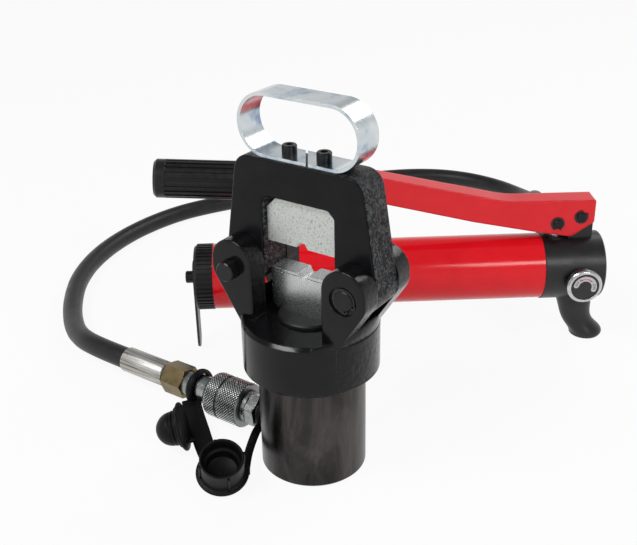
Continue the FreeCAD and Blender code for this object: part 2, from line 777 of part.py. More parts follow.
def cap_start():
    return plate_x + plate_t


def make_stand_plate():
    end_r = plate_half - 0.01
    strip = plate_yz([(-plate_half, 0, end_r), (plate_half, 0, end_r), (plate_half, plate_top, end_r),
                      (-plate_half, plate_top, end_r)], plate_x, plate_x + plate_t)
    return strip.cut(cylinder(tie_d / 2 + 0.2, plate_t + 2, Vec(plate_x - 1, 0, axis_z), X_AXIS))


def plate_yz(corners, x_low, x_high):
    """Solid of a rounded outline in the YZ plane, between two values of x."""
    solid = plate(corners, -x_high, -x_low)
    solid.rotate(Vec(0, 0, 0), Z_AXIS, 90)
    return solid


def make_end_cap():
    start = cap_start()
    east = X_AXIS
    cap = turned([(tie_d / 2 + thread_gap, 0), (cap_r - 3, 0), (cap_r - 1.2, 2.5), (cap_r - 1.2, cap_l),
                  (tube_d / 2 - tube_wall - thread_gap, cap_l),
                  (tube_d / 2 - tube_wall - thread_gap, cap_l + cap_spigot),
                  (tube_d / 2 - tube_wall - 5, cap_l + cap_spigot), (tube_d / 2 - tube_wall - 5, cap_l - 6),
                  (tie_d / 2 + 5, cap_l - 6), (tie_d / 2 + 5, cap_l + cap_spigot - 3),
                  (tie_d / 2 + thread_gap, cap_l + cap_spigot - 3)], Vec(start, 0, axis_z), east)
    ribs = []
    for i in range(cap_ribs):
        rib = block_between((3.0, -1.3, cap_r - 2.2), (cap_l, 1.3, cap_r))
        rib.rotate(Vec(0, 0, 0), X_AXIS, 360.0 * i / cap_ribs)
        rib.translate(Vec(start, 0, axis_z))
        ribs.append(rib)
    return cap.multiFuse(ribs)


def make_tie_bolt():
    """Bolt along the reservoir's axis that clamps plate, cap and tube to the block."""
    length = block_start() - plate_x + 2
    return turned([(0, -tie_head_h), (tie_head_d / 2 - 1, -tie_head_h), (tie_head_d / 2, -tie_head_h + 1),
                   (tie_head_d / 2, 0), (tie_d / 2, 0), (tie_d / 2, length - 0.8), (tie_d / 2 - 0.8, length),
                   (0, length)], Vec(plate_x, 0, axis_z), X_AXIS)


def make_tube():
    start = cap_start() + cap_l
    return ring(tube_d / 2, tube_d / 2 - tube_wall, tube_end - start, Vec(start, 0, axis_z), X_AXIS)


def make_block():
    start = block_start()
    spigot = tube_d / 2 - tube_wall - thread_gap
    body = turned([(0, -15), (spigot - 1, -15), (spigot, -14), (spigot, 0), (block_r, 0),
                   (block_r, block_l - block_edge), (block_r - block_edge, block_l), (0, block_l)],
                  Vec(start, 0, axis_z), X_AXIS)
    lug_half = channel_w / 2 - channel_t - side_gap
    lug = plate([(fulcrum_x - lug_r - 1, axis_z + 25, 0), (fulcrum_x - lug_r, fulcrum_z + lug_r, lug_r - 0.5),
                 (fulcrum_x + lug_r, fulcrum_z + lug_r, lug_r - 0.5), (fulcrum_x + lug_r + 4, fulcrum_z - 8, 6),
                 (fulcrum_x + lug_r + 4, axis_z + 25, 0)], -lug_half, lug_half)
    body = body.fuse(lug)
    body = body.cut(cylinder(lever_pin_d / 2 + running_gap, channel_w, Vec(fulcrum_x, -channel_w / 2, fulcrum_z), Y_AXIS))
    chamber = plunger_low - plunger_chamber
    body = body.cut(cylinder(gland_d / 2 + thread_gap, 40, Vec(plunger_x(), 0, gland_low())))
    body = body.cut(cylinder(plunger_d / 2 + running_gap, 60, Vec(plunger_x(), 0, chamber)))
    body = body.cut(cylinder(ball_d / 2 + 0.1, 9, Vec(plunger_x(), 0, chamber - 8.9)))
    body = body.cut(cylinder(1.8, 25, Vec(start - 16, 0, chamber - 7), X_AXIS))
    body = body.cut(cylinder(stem_d / 2 + running_gap, block_r, Vec(knob_x, -stem_in, knob_z), Y_AXIS * -1))
    body = body.cut(cylinder(ball_d / 2 + 0.1, ball_d + 0.6, Vec(knob_x, -stem_in + ball_d + 0.3, knob_z),
                             Y_AXIS * -1))
    body = body.cut(cylinder(port_spot_d / 2 + 4, 10, Vec(outlet_x, outlet_flat, axis_z), Y_AXIS))
    body = body.cut(cylinder(port_thread_d / 2 + thread_gap, 30, Vec(outlet_x, outlet_flat - port_thread_l + 2, axis_z), Y_AXIS))
    body = body.cut(cylinder(tie_d / 2 + thread_gap, 19, Vec(start - 16, 0, axis_z), X_AXIS))
    body = body.cut(cylinder(4 + thread_gap, 30, Vec(foot_screw_x, 0, axis_z - block_r - 5)))
    return body


def make_foot():
    """Cast foot: an oval neck under the block that sweeps outward into a rounded pad."""
    sections = [(0, 0, 17, 18), (4, 0.5, 18.5, 19.5), (15, -7.5, 17.5, 15.5), (30, -14, 17.5, 14),
                (48, -17, 20, 16), (60, -17, 22, 18)]
    rings = []
    for z, shift, rx, ry in sections:
        cx = foot_x + shift
        ellipse = Part.Ellipse(Vec(cx, 0, z), rx, ry) if rx >= ry else None
        if ellipse is None:
            ellipse = Part.Ellipse(Vec(cx, ry, z), Vec(cx + rx, 0, z), Vec(cx, 0, z))
        rings.append(Part.Wire([ellipse.toShape()]))
    foot = Part.makeLoft(rings, True, False)
    foot = foot.cut(cylinder(block_r + 0.03, 200, Vec(block_start() - 20, 0, axis_z), X_AXIS))
    foot = foot.cut(cylinder(7.0, 18, Vec(foot_screw_x, 0, -1)))
    return foot.cut(cylinder(4.2, 60, Vec(foot_screw_x, 0, 10)))


def make_foot_screw():
    return socket_screw(Vec(foot_screw_x, 0, 17), Z_AXIS, 13.0, 8.0, 8.0, 54.0, 6.0)


def plunger_x():
    return link_x + plunger_shift


def gland_low():
    return axis_z + block_r + gland_proud - gland_l


def make_gland():
    r = plunger_d / 2
    groove = r + gland_seal_depth
    return turned([(r + running_gap, 0.1), (gland_d / 2, 0.1), (gland_d / 2, gland_l - 0.8),
                   (gland_d / 2 - 0.8, gland_l), (r + running_gap, gland_l),
                   (r + running_gap, 4 + gland_seal_w), (groove, 4 + gland_seal_w), (groove, 4),
                   (r + running_gap, 4)], Vec(plunger_x(), 0, gland_low()), Z_AXIS)


def make_plunger_seal():
    r = plunger_d / 2
    return ring(r + gland_seal_depth - thread_gap, r + running_gap, gland_seal_w - 0.2,
                Vec(plunger_x(), 0, gland_low() + 4.1))


def make_plunger():
    """Plunger whose cross slot lets the link pin follow its arc."""
    r = plunger_d / 2
    top = link_z + 9.5
    rod = turned([(0, plunger_low), (r - 0.8, plunger_low), (r, plunger_low + 0.8), (r, top - 2),
                  (r - 2, top), (0, top)], Vec(plunger_x(), 0, 0), Z_AXIS)
    pin_r = lever_pin_d / 2
    slot = plate([(link_x - pin_r - slot_left, link_z - pin_r - slot_low, pin_r - 0.2),
                  (link_x + pin_r + slot_right, link_z - pin_r - slot_low, pin_r - 0.2),
                  (link_x + pin_r + slot_right, link_z + pin_r + slot_low, pin_r - 0.2),
                  (link_x - pin_r - slot_left, link_z + pin_r + slot_low, pin_r - 0.2)], -r - 1, r + 1)
    return rod.cut(slot)


def make_lever():
    """Pressed channel open downwards, with the handle bar welded into its closed end."""
    end = fulcrum_x + 14.6
    outline = [(channel_start, 181.0, 4), (end - 131.0, 146.7, 60), (end - 63.0, 132.7, 40),
               (end - 24.0, 125.9, 12), (end, 142.4, 2), (end, 168.2, 2), (end - 95.0, 168.9, 120),
               (channel_start, 209.0, 3)]
    half = channel_w / 2
    t = channel_t
    shell = plate(outline, -half, half)
    hollow = [(channel_start + 5, 150.0, 0), (channel_start + 5, 204.0, 2), (end - 95.0, 165.6, 120),
              (end + 10.0, 165.0, 0), (end + 10.0, 100.0, 0), (channel_start + 5, 100.0, 0)]
    shell = shell.cut(plate(hollow, -half + t, half - t))
    slope = math.radians(grip_slope)
    along = Vec(math.cos(slope), 0, -math.sin(slope))
    start = Vec(grip_x0, 0, grip_z0) + along * 6
    length = (channel_start + 3 - start.x) / along.x
    shell = shell.fuse(cylinder(bar_d / 2, length, start, along))
    for x, z in ((fulcrum_x, fulcrum_z), (link_x, link_z)):
        shell = shell.cut(cylinder(lever_pin_d / 2 + thread_gap, channel_w + 2, Vec(x, -half - 1, z), Y_AXIS))
    return shell


def make_grip():
    slope = math.radians(grip_slope)
    along = Vec(math.cos(slope), 0, -math.sin(slope))
    start = Vec(grip_x0, 0, grip_z0)
    grip = turned([(0, 0), (grip_r - 3, 0), (grip_r, 3), (grip_r, 12), (grip_r - 1.2, 13.5),
                   (grip_r - 1.2, grip_l - 2), (grip_r - 3.2, grip_l), (bar_d / 2 + thread_gap, grip_l),
                   (bar_d / 2 + thread_gap, 5.8), (0, 5.8)], start, along)
    ribs = []
    for i in range(grip_ribs):
        rib = block_between((12.5, -1.6, grip_r - 2.2), (grip_l - 4, 1.6, grip_r))
        rib.rotate(Vec(0, 0, 0), X_AXIS, 360.0 * (i + 0.5) / grip_ribs)
        rib.Placement = FreeCAD.Placement(start, FreeCAD.Rotation(X_AXIS, along)).multiply(rib.Placement)
        ribs.append(rib)
    return grip.multiFuse(ribs)


def make_lever_pin(x, z):
    length = channel_w + 2 * lever_pin_end
    groove_at = lever_pin_end - 0.15 - lever_clip_t - 0.05
    return grooved_pin(lever_pin_d / 2, length, Vec(x, -length / 2, z), Y_AXIS, groove_at,
                       lever_clip_t + 0.1, 0.5, 0.6)


def make_lever_clips(x, z, open_to):
    clips = []
    inner = lever_pin_d / 2 - 0.5 + 0.06
    for front in (-1, 1):
        at = Vec(x, front * (channel_w / 2 + 0.15), z)
        clips.append(circlip(inner, lever_clip_out, lever_clip_t, at, Y_AXIS * front, open_to))
    return Part.makeCompound(clips)


def make_knob():
    """Release knob: flat dish with a rounded rim, bored for the stem."""
    back = knob_out - knob_l
    return turned([(stem_d / 2 - 1 + thread_gap, back), (knob_r - 1, back), (knob_r, back + 1),
                   (knob_r, knob_out - 2), (knob_r - 1.2, knob_out - 0.4), (knob_r - 2.2, knob_out),
                   (dial_r + thread_gap, knob_out), (dial_r + thread_gap, knob_out - dial_depth),
                   (stem_d / 2 - 1 + thread_gap, knob_out - dial_depth)],
                  Vec(knob_x, 0, knob_z), Y_AXIS * -1)


def make_dial():
    return cylinder(dial_r, dial_depth - 0.25, Vec(knob_x, -(knob_out - dial_depth) - 0.05, knob_z), Y_AXIS * -1)


def make_stem():
    front = knob_out - dial_depth
    back = knob_out - knob_l
    r = stem_d / 2
    return turned([(0, stem_in), (1.5, stem_in), (r, stem_in + 4), (r, back - 0.1), (r - 1, back - 0.1),
                   (r - 1, front), (0, front)], Vec(knob_x, 0, knob_z), Y_AXIS * -1)


def ball(x, y, z):
    return Part.makeSphere(ball_d / 2, Vec(x, y, z))


def make_outlet_adapter():
    at = Vec(outlet_x, outlet_flat, axis_z)
    body = turned([(oil_hole_d / 2, -port_thread_l + 3), (port_thread_d / 2 - 1, -port_thread_l + 3),
                   (port_thread_d / 2, -port_thread_l + 4), (port_thread_d / 2, 0.5),
                   (oil_hole_d / 2, 0.5)], at, Y_AXIS)
    nut = hexagon(hose_nut_af, outlet_hex_l, at, Y_AXIS)
    return body.fuse(nut.cut(cylinder(oil_hole_d / 2, outlet_hex_l, at, Y_AXIS))).removeSplitter()


def outlet_nut_y():
    return outlet_flat + outlet_hex_l


def ferrule_end_y():
    return outlet_nut_y() + hose_nut_l + hose_collar_l + ferrule_l


def build():
    x = coupler_x()
    west = X_AXIS * -1
    nodes = {
        "cylinder_barrel": make_barrel(),
        "clevis_collar": make_collar(),
        "rod_wiper": make_wiper(),
        "ram_piston": make_ram(),
        "piston_seal": make_seal(),
        "return_spring": make_spring(),
        "lower_die": make_lower_die(),
        "upper_die": make_upper_die(),
        "lower_die_pin": make_die_pin(rod_top - 9.5),
        "upper_die_pin": make_die_pin(window_top - 6.3),
        "yoke_frame": make_yoke(),
        "carry_handle": make_handle(),
        "handle_screws": make_handle_screws(),
        "hinge_pin": make_hinge_pin(),
        "hinge_circlips": make_hinge_circlips(),
        "lock_pin_front": make_lock_pin(-1),
        "lock_pin_back": make_lock_pin(1),
        "coupler_nipple": make_nipple(),
        "coupler_sleeve": make_sleeve(),
        "coupler_body": make_coupler_body(),
        "head_hose_nut": make_hose_nut(Vec(x[3], 0, port_z), west),
        "head_ferrule": make_ferrule(Vec(x[4], 0, port_z), west),
        "nipple_dust_cap": make_dust_cap(),
        "coupler_dust_plug": make_dust_plug(),
        "hose": make_hose(),
    }
    pump = {
        "stand_plate": make_stand_plate(),
        "reservoir_cap": make_end_cap(),
        "tie_bolt": make_tie_bolt(),
        "reservoir_tube": make_tube(),
        "pump_block": make_block(),
        "pump_foot": make_foot(),
        "foot_screw": make_foot_screw(),
        "plunger_gland": make_gland(),
        "plunger_seal": make_plunger_seal(),
        "plunger": make_plunger(),
        "pump_lever": make_lever(),
        "lever_grip": make_grip(),
        "fulcrum_pin": make_lever_pin(fulcrum_x, fulcrum_z),
        "link_pin": make_lever_pin(link_x, link_z),
        "fulcrum_clips": make_lever_clips(fulcrum_x, fulcrum_z, Vec(0.5, 0, 0.866)),
        "link_clips": make_lever_clips(link_x, link_z, Vec(0, 0, -1)),
        "release_knob": make_knob(),
        "release_dial": make_dial(),
        "release_stem": make_stem(),
        "release_ball": ball(knob_x, -stem_in + ball_d / 2 + 0.15, knob_z),
        "inlet_ball": ball(plunger_x(), 0, plunger_low - plunger_chamber - 8.8 + ball_d / 2),
        "outlet_adapter": make_outlet_adapter(),
        "pump_hose_nut": make_hose_nut(Vec(outlet_x, outlet_nut_y(), axis_z), Y_AXIS),
        "pump_ferrule": make_ferrule(Vec(outlet_x, outlet_nut_y() + hose_nut_l, axis_z), Y_AXIS),
    }
    for name, shape in pump.items():
        nodes[name] = settle(shape)
    return nodes


os.makedirs("parts", exist_ok=True)
for node, shape in build().items():
    print(node, "valid", shape.isValid(), "solids", len(shape.Solids), "volume %.0f" % shape.Volume)
    shape.exportStep("parts/" + node + ".step")
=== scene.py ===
import math

import bmesh
import bpy
from mathutils import Matrix, Vector


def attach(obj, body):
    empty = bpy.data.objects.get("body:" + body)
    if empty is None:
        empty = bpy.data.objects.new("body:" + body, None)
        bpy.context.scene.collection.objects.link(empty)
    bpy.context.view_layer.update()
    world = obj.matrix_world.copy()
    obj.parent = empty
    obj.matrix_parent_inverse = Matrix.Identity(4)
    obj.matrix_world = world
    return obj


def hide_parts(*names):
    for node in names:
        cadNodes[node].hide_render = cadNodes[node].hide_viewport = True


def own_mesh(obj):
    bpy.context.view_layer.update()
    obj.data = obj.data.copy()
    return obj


# Crimping head, hose and hand pump. Metres, +X to the gate's hinge pin, +Y back, +Z up, floor at z = 0.
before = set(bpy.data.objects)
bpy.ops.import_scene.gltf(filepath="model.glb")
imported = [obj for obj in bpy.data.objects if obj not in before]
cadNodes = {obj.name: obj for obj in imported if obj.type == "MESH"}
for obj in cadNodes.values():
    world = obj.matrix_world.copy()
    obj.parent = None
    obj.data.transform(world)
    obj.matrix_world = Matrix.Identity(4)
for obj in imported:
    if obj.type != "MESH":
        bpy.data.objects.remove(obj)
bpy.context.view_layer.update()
scene = bpy.context.scene
scene.view_settings.view_transform = "Standard"
print("frame loaded:", len(cadNodes), "nodes")


# Camera, at the photograph's viewing angle
camera = {"eye": (0.4551, -0.6332, 0.5764), "yaw": 35.14, "pitch": 26.14, "roll": -1.15, "lens": 56.515,
          "sensor": 36.0, "clip": (0.01, 30)}


def placeCamera(s):
    yaw, pitch, roll = (math.radians(s[k]) for k in ("yaw", "pitch", "roll"))
    ahead = Vector((-math.sin(yaw) * math.cos(pitch), math.cos(yaw) * math.cos(pitch), -math.sin(pitch)))
    right = Vector((math.cos(yaw), math.sin(yaw), 0))
    up = right.cross(ahead)
    tiltedRight = right * math.cos(roll) + up * math.sin(roll)
    tiltedUp = up * math.cos(roll) - right * math.sin(roll)
    turn = Matrix((tiltedRight, tiltedUp, -ahead)).transposed().to_4x4()
    data = bpy.data.cameras.new("shopCamera")
    data.lens, data.sensor_width, data.sensor_fit = s["lens"], s["sensor"], "HORIZONTAL"
    data.clip_start, data.clip_end = s["clip"]
    view = bpy.data.objects.new("shopCamera", data)
    view.matrix_world = Matrix.Translation(s["eye"]) @ turn
    scene.collection.objects.link(view)
    scene.camera = view


placeCamera(camera)


# Node helpers, for materials and geometry trees alike
def addNode(tree, kind, inputs=None, **settings):
    node = tree.nodes.new(kind)
    for key, value in settings.items():
        setattr(node, key, value)
    for key, value in (inputs or {}).items():
        node.inputs[key].default_value = value
    return node


def calc(tree, operation, a, b=None):
    node = addNode(tree, "ShaderNodeMath", operation=operation)
    for socket, value in zip(node.inputs, (a, b)):
        if isinstance(value, (int, float)):
            socket.default_value = value
        elif value is not None:
            tree.links.new(value, socket)
    return node.outputs[0]


def spread(tree, field, low, high, fromLow=0.3, fromHigh=0.7):
    remap = addNode(tree, "ShaderNodeMapRange",
                    {"From Min": fromLow, "From Max": fromHigh, "To Min": low, "To Max": high})
    tree.links.new(field, remap.inputs["Value"])
    return remap.outputs["Result"]


# Surfaces: every finish is noise on the piece's own Object coordinates
def startMaterial(name):
    material = bpy.data.materials.new(name)
    material.use_nodes = True
    tree = material.node_tree
    return material, tree, tree.nodes["Principled BSDF"]


def objectSpace(tree, scale=(1, 1, 1), turn=0.0):
    coordinate = addNode(tree, "ShaderNodeTexCoord")
    mapping = addNode(tree, "ShaderNodeMapping", {"Scale": scale, "Rotation": (0, 0, turn)})
    tree.links.new(coordinate.outputs["Object"], mapping.inputs["Vector"])
    return mapping.outputs["Vector"]


def noiseField(tree, space, scale, detail=3.0, rough=0.55, distort=0.0):
    noise = addNode(tree, "ShaderNodeTexNoise",
                    {"Scale": scale, "Detail": detail, "Roughness": rough, "Distortion": distort})
    tree.links.new(space, noise.inputs["Vector"])
    return noise.outputs["Fac"]


def colourBand(tree, field, stops):
    ramp = addNode(tree, "ShaderNodeValToRGB")
    while len(ramp.color_ramp.elements) < len(stops):
        ramp.color_ramp.elements.new(0.5)
    for element, (place, colour) in zip(ramp.color_ramp.elements, stops):
        element.position, element.color = place, (*colour, 1)
    tree.links.new(field, ramp.inputs["Fac"])
    return ramp.outputs["Color"]


def raised(tree, field, height, normal=None):
    bump = addNode(tree, "ShaderNodeBump", {"Strength": 1.0, "Distance": height})
    tree.links.new(field, bump.inputs["Height"])
    if normal:
        tree.links.new(normal, bump.inputs["Normal"])
    return bump.outputs["Normal"]


def roundedEdges(tree, radius):
    return addNode(tree, "ShaderNodeBevel", {"Radius": radius}, samples=4).outputs["Normal"]


def mottleColours(s):  # dark to light, or stops where there are more than two colours
    return s["stops"] if "stops" in s else [(0.3, s["dark"]), (0.7, s["light"])]


# rough is the roughness from the mottle's low parts to its high ones, height the depth of the grain
def surfaceFinish(name, s):
    material, tree, shader = startMaterial(name)
    space = objectSpace(tree, s.get("scale", (1, 1, 1)), s.get("turn", 0.0))
    mottle = noiseField(tree, space, s["mottle"], s.get("detail", 4.0), 0.6, s.get("distort", 0.4))
    grain = noiseField(tree, space, s["grain"], 2.0, 0.6)
    tree.links.new(colourBand(tree, mottle, mottleColours(s)), shader.inputs["Base Color"])
    tree.links.new(spread(tree, mottle, *s["rough"]), shader.inputs["Roughness"])
    shader.inputs["Metallic"].default_value = s.get("metal", 0.0)
    if "specular" in s:
        shader.inputs["Specular IOR Level"].default_value = s["specular"]
    edges = roundedEdges(tree, s["edge"]) if "edge" in s else None
    tree.links.new(raised(tree, grain, s["height"], edges), shader.inputs["Normal"])
    return material


finishes = {
    "hoseCover": {"dark": (0.008, 0.008, 0.009), "light": (0.016, 0.016, 0.018), "rough": (0.34, 0.46),
                  "mottle": 60, "grain": 900, "height": 0.00006, "specular": 0.3},
    "barrelSteel": {"stops": [(0.30, (0.010, 0.009, 0.009)), (0.5, (0.034, 0.031, 0.030)),
                              (0.72, (0.082, 0.073, 0.068))],
                    "rough": (0.24, 0.40), "mottle": 34, "detail": 6.0, "grain": 500, "height": 0.00003,
                    "metal": 0.8, "distort": 1.0, "scale": (1, 1, 0.28), "edge": 0.0006},
    # Strap: the plating's real blue-grey tint, with dark blotches that are painted reflection
    "strapZincTintAndPaintedReflection": {"stops": [(0.32, (0.26, 0.34, 0.46)), (0.46, (0.56, 0.62, 0.66)), (0.68, (0.70, 0.72, 0.71))],
                  "rough": (0.16, 0.28), "mottle": 34, "grain": 500, "height": 0.00003, "metal": 1.0,
                  "edge": 0.0003},
    "sleeveZinc": {"dark": (0.16, 0.17, 0.17), "light": (0.27, 0.28, 0.28), "rough": (0.24, 0.36),
                   "mottle": 90, "grain": 800, "height": 0.00003, "metal": 1.0, "edge": 0.0003},
    "dieSteel": {"stops": [(0.35, (0.42, 0.44, 0.43)), (0.5, (0.56, 0.58, 0.57)), (0.7, (0.64, 0.66, 0.65))],
                 "rough": (0.22, 0.32), "mottle": 800, "detail": 2.0, "grain": 1100, "height": 0.00003,
                 "metal": 1.0, "edge": 0.0004},
    "dieZinc": {"stops": [(0.34, (0.32, 0.31, 0.28)), (0.43, (0.56, 0.58, 0.55)), (0.7, (0.67, 0.69, 0.66))],
                "rough": (0.36, 0.48), "mottle": 520, "detail": 3.0, "grain": 900, "height": 0.00006,
                "metal": 0.6, "edge": 0.0004},
    "rodSteel": {"dark": (0.010, 0.010, 0.011), "light": (0.024, 0.024, 0.025), "rough": (0.36, 0.48),
                 "mottle": 80, "grain": 900, "height": 0.00001, "metal": 0.4, "specular": 0.3, "edge": 0.0003},
    "fittingZinc": {"dark": (0.19, 0.21, 0.205), "light": (0.40, 0.42, 0.41), "rough": (0.16, 0.30),
                    "mottle": 90, "grain": 800, "height": 0.00003, "metal": 1.0, "edge": 0.0004},
    "nutYellowZinc": {"stops": [(0.3, (0.11, 0.085, 0.032)), (0.5, (0.19, 0.150, 0.068)),
                                (0.72, (0.25, 0.175, 0.100))],
                      "rough": (0.24, 0.38), "mottle": 70, "grain": 700, "height": 0.00003, "metal": 0.9,
                      "edge": 0.0004},
    "blackOxide": {"dark": (0.005, 0.005, 0.005), "light": (0.012, 0.012, 0.013), "rough": (0.24, 0.36),
                   "mottle": 200, "grain": 900, "height": 0.00002, "metal": 0.2, "specular": 0.3, "edge": 0.0004},
    "groundSteel": {"dark": (0.50, 0.50, 0.50), "light": (0.64, 0.64, 0.63), "rough": (0.18, 0.28),
                    "mottle": 120, "grain": 900, "height": 0.00001, "metal": 1.0, "edge": 0.0003},
    "knobSteel": {"dark": (0.46, 0.46, 0.47), "light": (0.66, 0.66, 0.66), "rough": (0.20, 0.30),
                  "mottle": 120, "grain": 700, "height": 0.00003, "metal": 1.0, "edge": 0.0006},
    "clipSteel": {"dark": (0.02, 0.02, 0.022), "light": (0.05, 0.05, 0.055), "rough": (0.25, 0.4),
                  "mottle": 200, "grain": 900, "height": 0.00001, "metal": 0.8, "edge": 0.0002},
    "sealPolyurethane": {"dark": (0.06, 0.045, 0.03), "light": (0.10, 0.08, 0.055), "rough": (0.4, 0.5),
                         "mottle": 150, "grain": 800, "height": 0.00002},
    "capRubber": {"dark": (0.003, 0.003, 0.003), "light": (0.007, 0.007, 0.007), "rough": (0.38, 0.52),
                  "mottle": 110, "grain": 1100, "height": 0.00004, "specular": 0.14, "edge": 0.0003},
    "tubeRed": {"dark": (0.80, 0.006, 0.014), "light": (0.88, 0.010, 0.020), "rough": (0.12, 0.18),
                "mottle": 30, "grain": 200, "height": 0.00003, "specular": 0.3, "edge": 0.0005},
    "leverRed": {"dark": (0.78, 0.010, 0.018), "light": (0.86, 0.015, 0.024), "rough": (0.10, 0.16),
                 "mottle": 30, "grain": 200, "height": 0.00003, "specular": 0.3, "edge": 0.0028},
    "blockBlack": {"dark": (0.005, 0.005, 0.006), "light": (0.011, 0.011, 0.012), "rough": (0.32, 0.44),
                   "mottle": 60, "grain": 500, "height": 0.00004, "specular": 0.42, "edge": 0.0005},
    "reservoirCapBlack": {"dark": (0.006, 0.006, 0.006), "light": (0.014, 0.014, 0.014), "rough": (0.44, 0.56),
                          "mottle": 120, "grain": 900, "height": 0.00004, "specular": 0.3, "edge": 0.0003},
    "gripRubber": {"dark": (0.006, 0.006, 0.006), "light": (0.012, 0.012, 0.012), "rough": (0.30, 0.42),
                   "mottle": 150, "grain": 900, "height": 0.00003, "specular": 0.3, "edge": 0.0004},
    "dialBlack": {"dark": (0.008, 0.008, 0.008), "light": (0.013, 0.013, 0.013), "rough": (0.30, 0.38),
                  "mottle": 200, "grain": 900, "height": 0.00001},
    "dialPale": {"dark": (0.52, 0.50, 0.52), "light": (0.60, 0.58, 0.60), "rough": (0.30, 0.40),
                 "mottle": 300, "grain": 900, "height": 0.00001, "metal": 0.3},
    "dialRed": {"dark": (0.55, 0.05, 0.10), "light": (0.65, 0.08, 0.14), "rough": (0.4, 0.5),
                "mottle": 300, "grain": 900, "height": 0.00001},
}
paint = {name: surfaceFinish(name, s) for name, s in finishes.items()}


# Pressed ferrules: bright metal with lines along the hose, which leaves the pump at its own angle
ferrule = {"stops": [(0.34, (0.13, 0.12, 0.10)), (0.47, (0.36, 0.35, 0.32)), (0.68, (0.62, 0.62, 0.60))],
           "rough": (0.36, 0.50), "mottle": 24, "detail": 5.0, "grain": 30, "height": 0.0003, "metal": 1.0,
           "scale": (0.7, 14, 14), "distort": 0.1, "edge": 0.0004}
ferruleTurns = {"ferruleAtHead": 0.0, "ferruleAtPump": -127}
for name, turn in ferruleTurns.items():
    paint[name] = surfaceFinish(name, {**ferrule, "turn": math.radians(turn)})


# Cast pieces: gloss black, flat on the machined front and back, rough on the cast sides, where pale flecks in the
# colour are painted glints.
# sideways and upwards say between which slopes of the surface a cast side or a top begins.
casting = {"mottle": 40, "edge": 0.0013, "sideways": (0.35, 0.75), "upwards": (0.25, 0.8), "topRelief": 0.35,
           "paintedGlintBand": (0.47, 0.58)}
enamels = {
    # Each enamel's pale fleck colour is a painted glint on its cast sides
    "yokeEnamel": {"dark": (0.004, 0.004, 0.005), "light": (0.008, 0.008, 0.009), "pits": 420, "waves": 110,
                   "height": 0.0040, "paintedGlintScale": 260, "paintedGlintColour": (0.105, 0.115, 0.120), "faceRough": 0.26,
                   "sideRough": 0.24, "specular": 0.14},
    "collarEnamel": {"dark": (0.003, 0.003, 0.004), "light": (0.006, 0.006, 0.007), "pits": 240, "waves": 60,
                     "height": 0.0006, "paintedGlintScale": 300, "paintedGlintColour": (0.012, 0.012, 0.012), "faceRough": 0.15,
                     "sideRough": 0.09, "specular": 0.22},
}


def castEnamel(name, s):
    material, tree, shader = startMaterial(name)
    link = tree.links.new
    space = objectSpace(tree)
    facing = addNode(tree, "ShaderNodeSeparateXYZ")
    link(addNode(tree, "ShaderNodeTexCoord").outputs["Normal"], facing.inputs["Vector"])
    side = spread(tree, calc(tree, "ABSOLUTE", facing.outputs["Y"]), 1.0, 0.0, *s["sideways"])
    upward = spread(tree, facing.outputs["Z"], 0.0, 1.0, *s["upwards"])
    rough = calc(tree, "MULTIPLY", side, spread(tree, upward, 1.0, s["topRelief"], 0.0, 1.0))
    pits = noiseField(tree, space, s["pits"], 4.0, 0.65, 0.6)
    relief = calc(tree, "ADD", pits, noiseField(tree, space, s["waves"], 2.0))
    # Pale flecks mixed into the colour on the cast sides, fewer on tops: painted glints
    paintedGlint = spread(tree, noiseField(tree, space, s["paintedGlintScale"], 3.0, 0.7, 1.2), 0.0, 1.0, *s["paintedGlintBand"])
    mottle = noiseField(tree, space, s["mottle"], 4.0)
    paintedGlintMix = addNode(tree, "ShaderNodeMix", {7: (*s["paintedGlintColour"], 1)}, data_type="RGBA")  # 6 and 7 are its colours
    link(calc(tree, "MULTIPLY", paintedGlint, rough), paintedGlintMix.inputs[0])
    link(colourBand(tree, mottle, mottleColours(s)), paintedGlintMix.inputs[6])
    link(paintedGlintMix.outputs[2], shader.inputs["Base Color"])
    link(spread(tree, side, s["faceRough"], s["sideRough"], 0.0, 1.0), shader.inputs["Roughness"])
    height = calc(tree, "MULTIPLY", relief, rough)
    link(raised(tree, height, s["height"], roundedEdges(tree, s["edge"])), shader.inputs["Normal"])
    shader.inputs["Specular IOR Level"].default_value = s["specular"]
    return material


for name, s in enamels.items():
    paint[name] = castEnamel(name, {**casting, **s})
print("surfaces made:", len(paint))


# Hose: the points of its route, as in the part's source
hoseRun = {"width": 0.023, "stepsAlong": 12, "stepsRound": 8, "route": [
    (-0.2410, 0.0, 0.0275), (-0.2890, 0.0, 0.0275), (-0.3360, 0.0165, 0.0190), (-0.3770, 0.0450, 0.0128),
    (-0.4140, 0.0790, 0.0118), (-0.4520, 0.1240, 0.0118), (-0.4800, 0.1770, 0.0119), (-0.4970, 0.2360, 0.0118),
    (-0.5010, 0.3000, 0.0118), (-0.4910, 0.3650, 0.0119), (-0.4630, 0.4240, 0.0118), (-0.4210, 0.4900, 0.0118),
    (-0.3740, 0.5660, 0.0119), (-0.3250, 0.6340, 0.0118), (-0.2660, 0.6860, 0.0118), (-0.2074, 0.7062, 0.0119),
    (-0.1456, 0.7019, 0.0125), (-0.0909, 0.6728, 0.0170), (-0.0510, 0.6253, 0.0330), (-0.0310, 0.5690, 0.0600),
    (-0.00675, 0.51491, 0.0870), (0.03177, 0.46380, 0.0870)]}


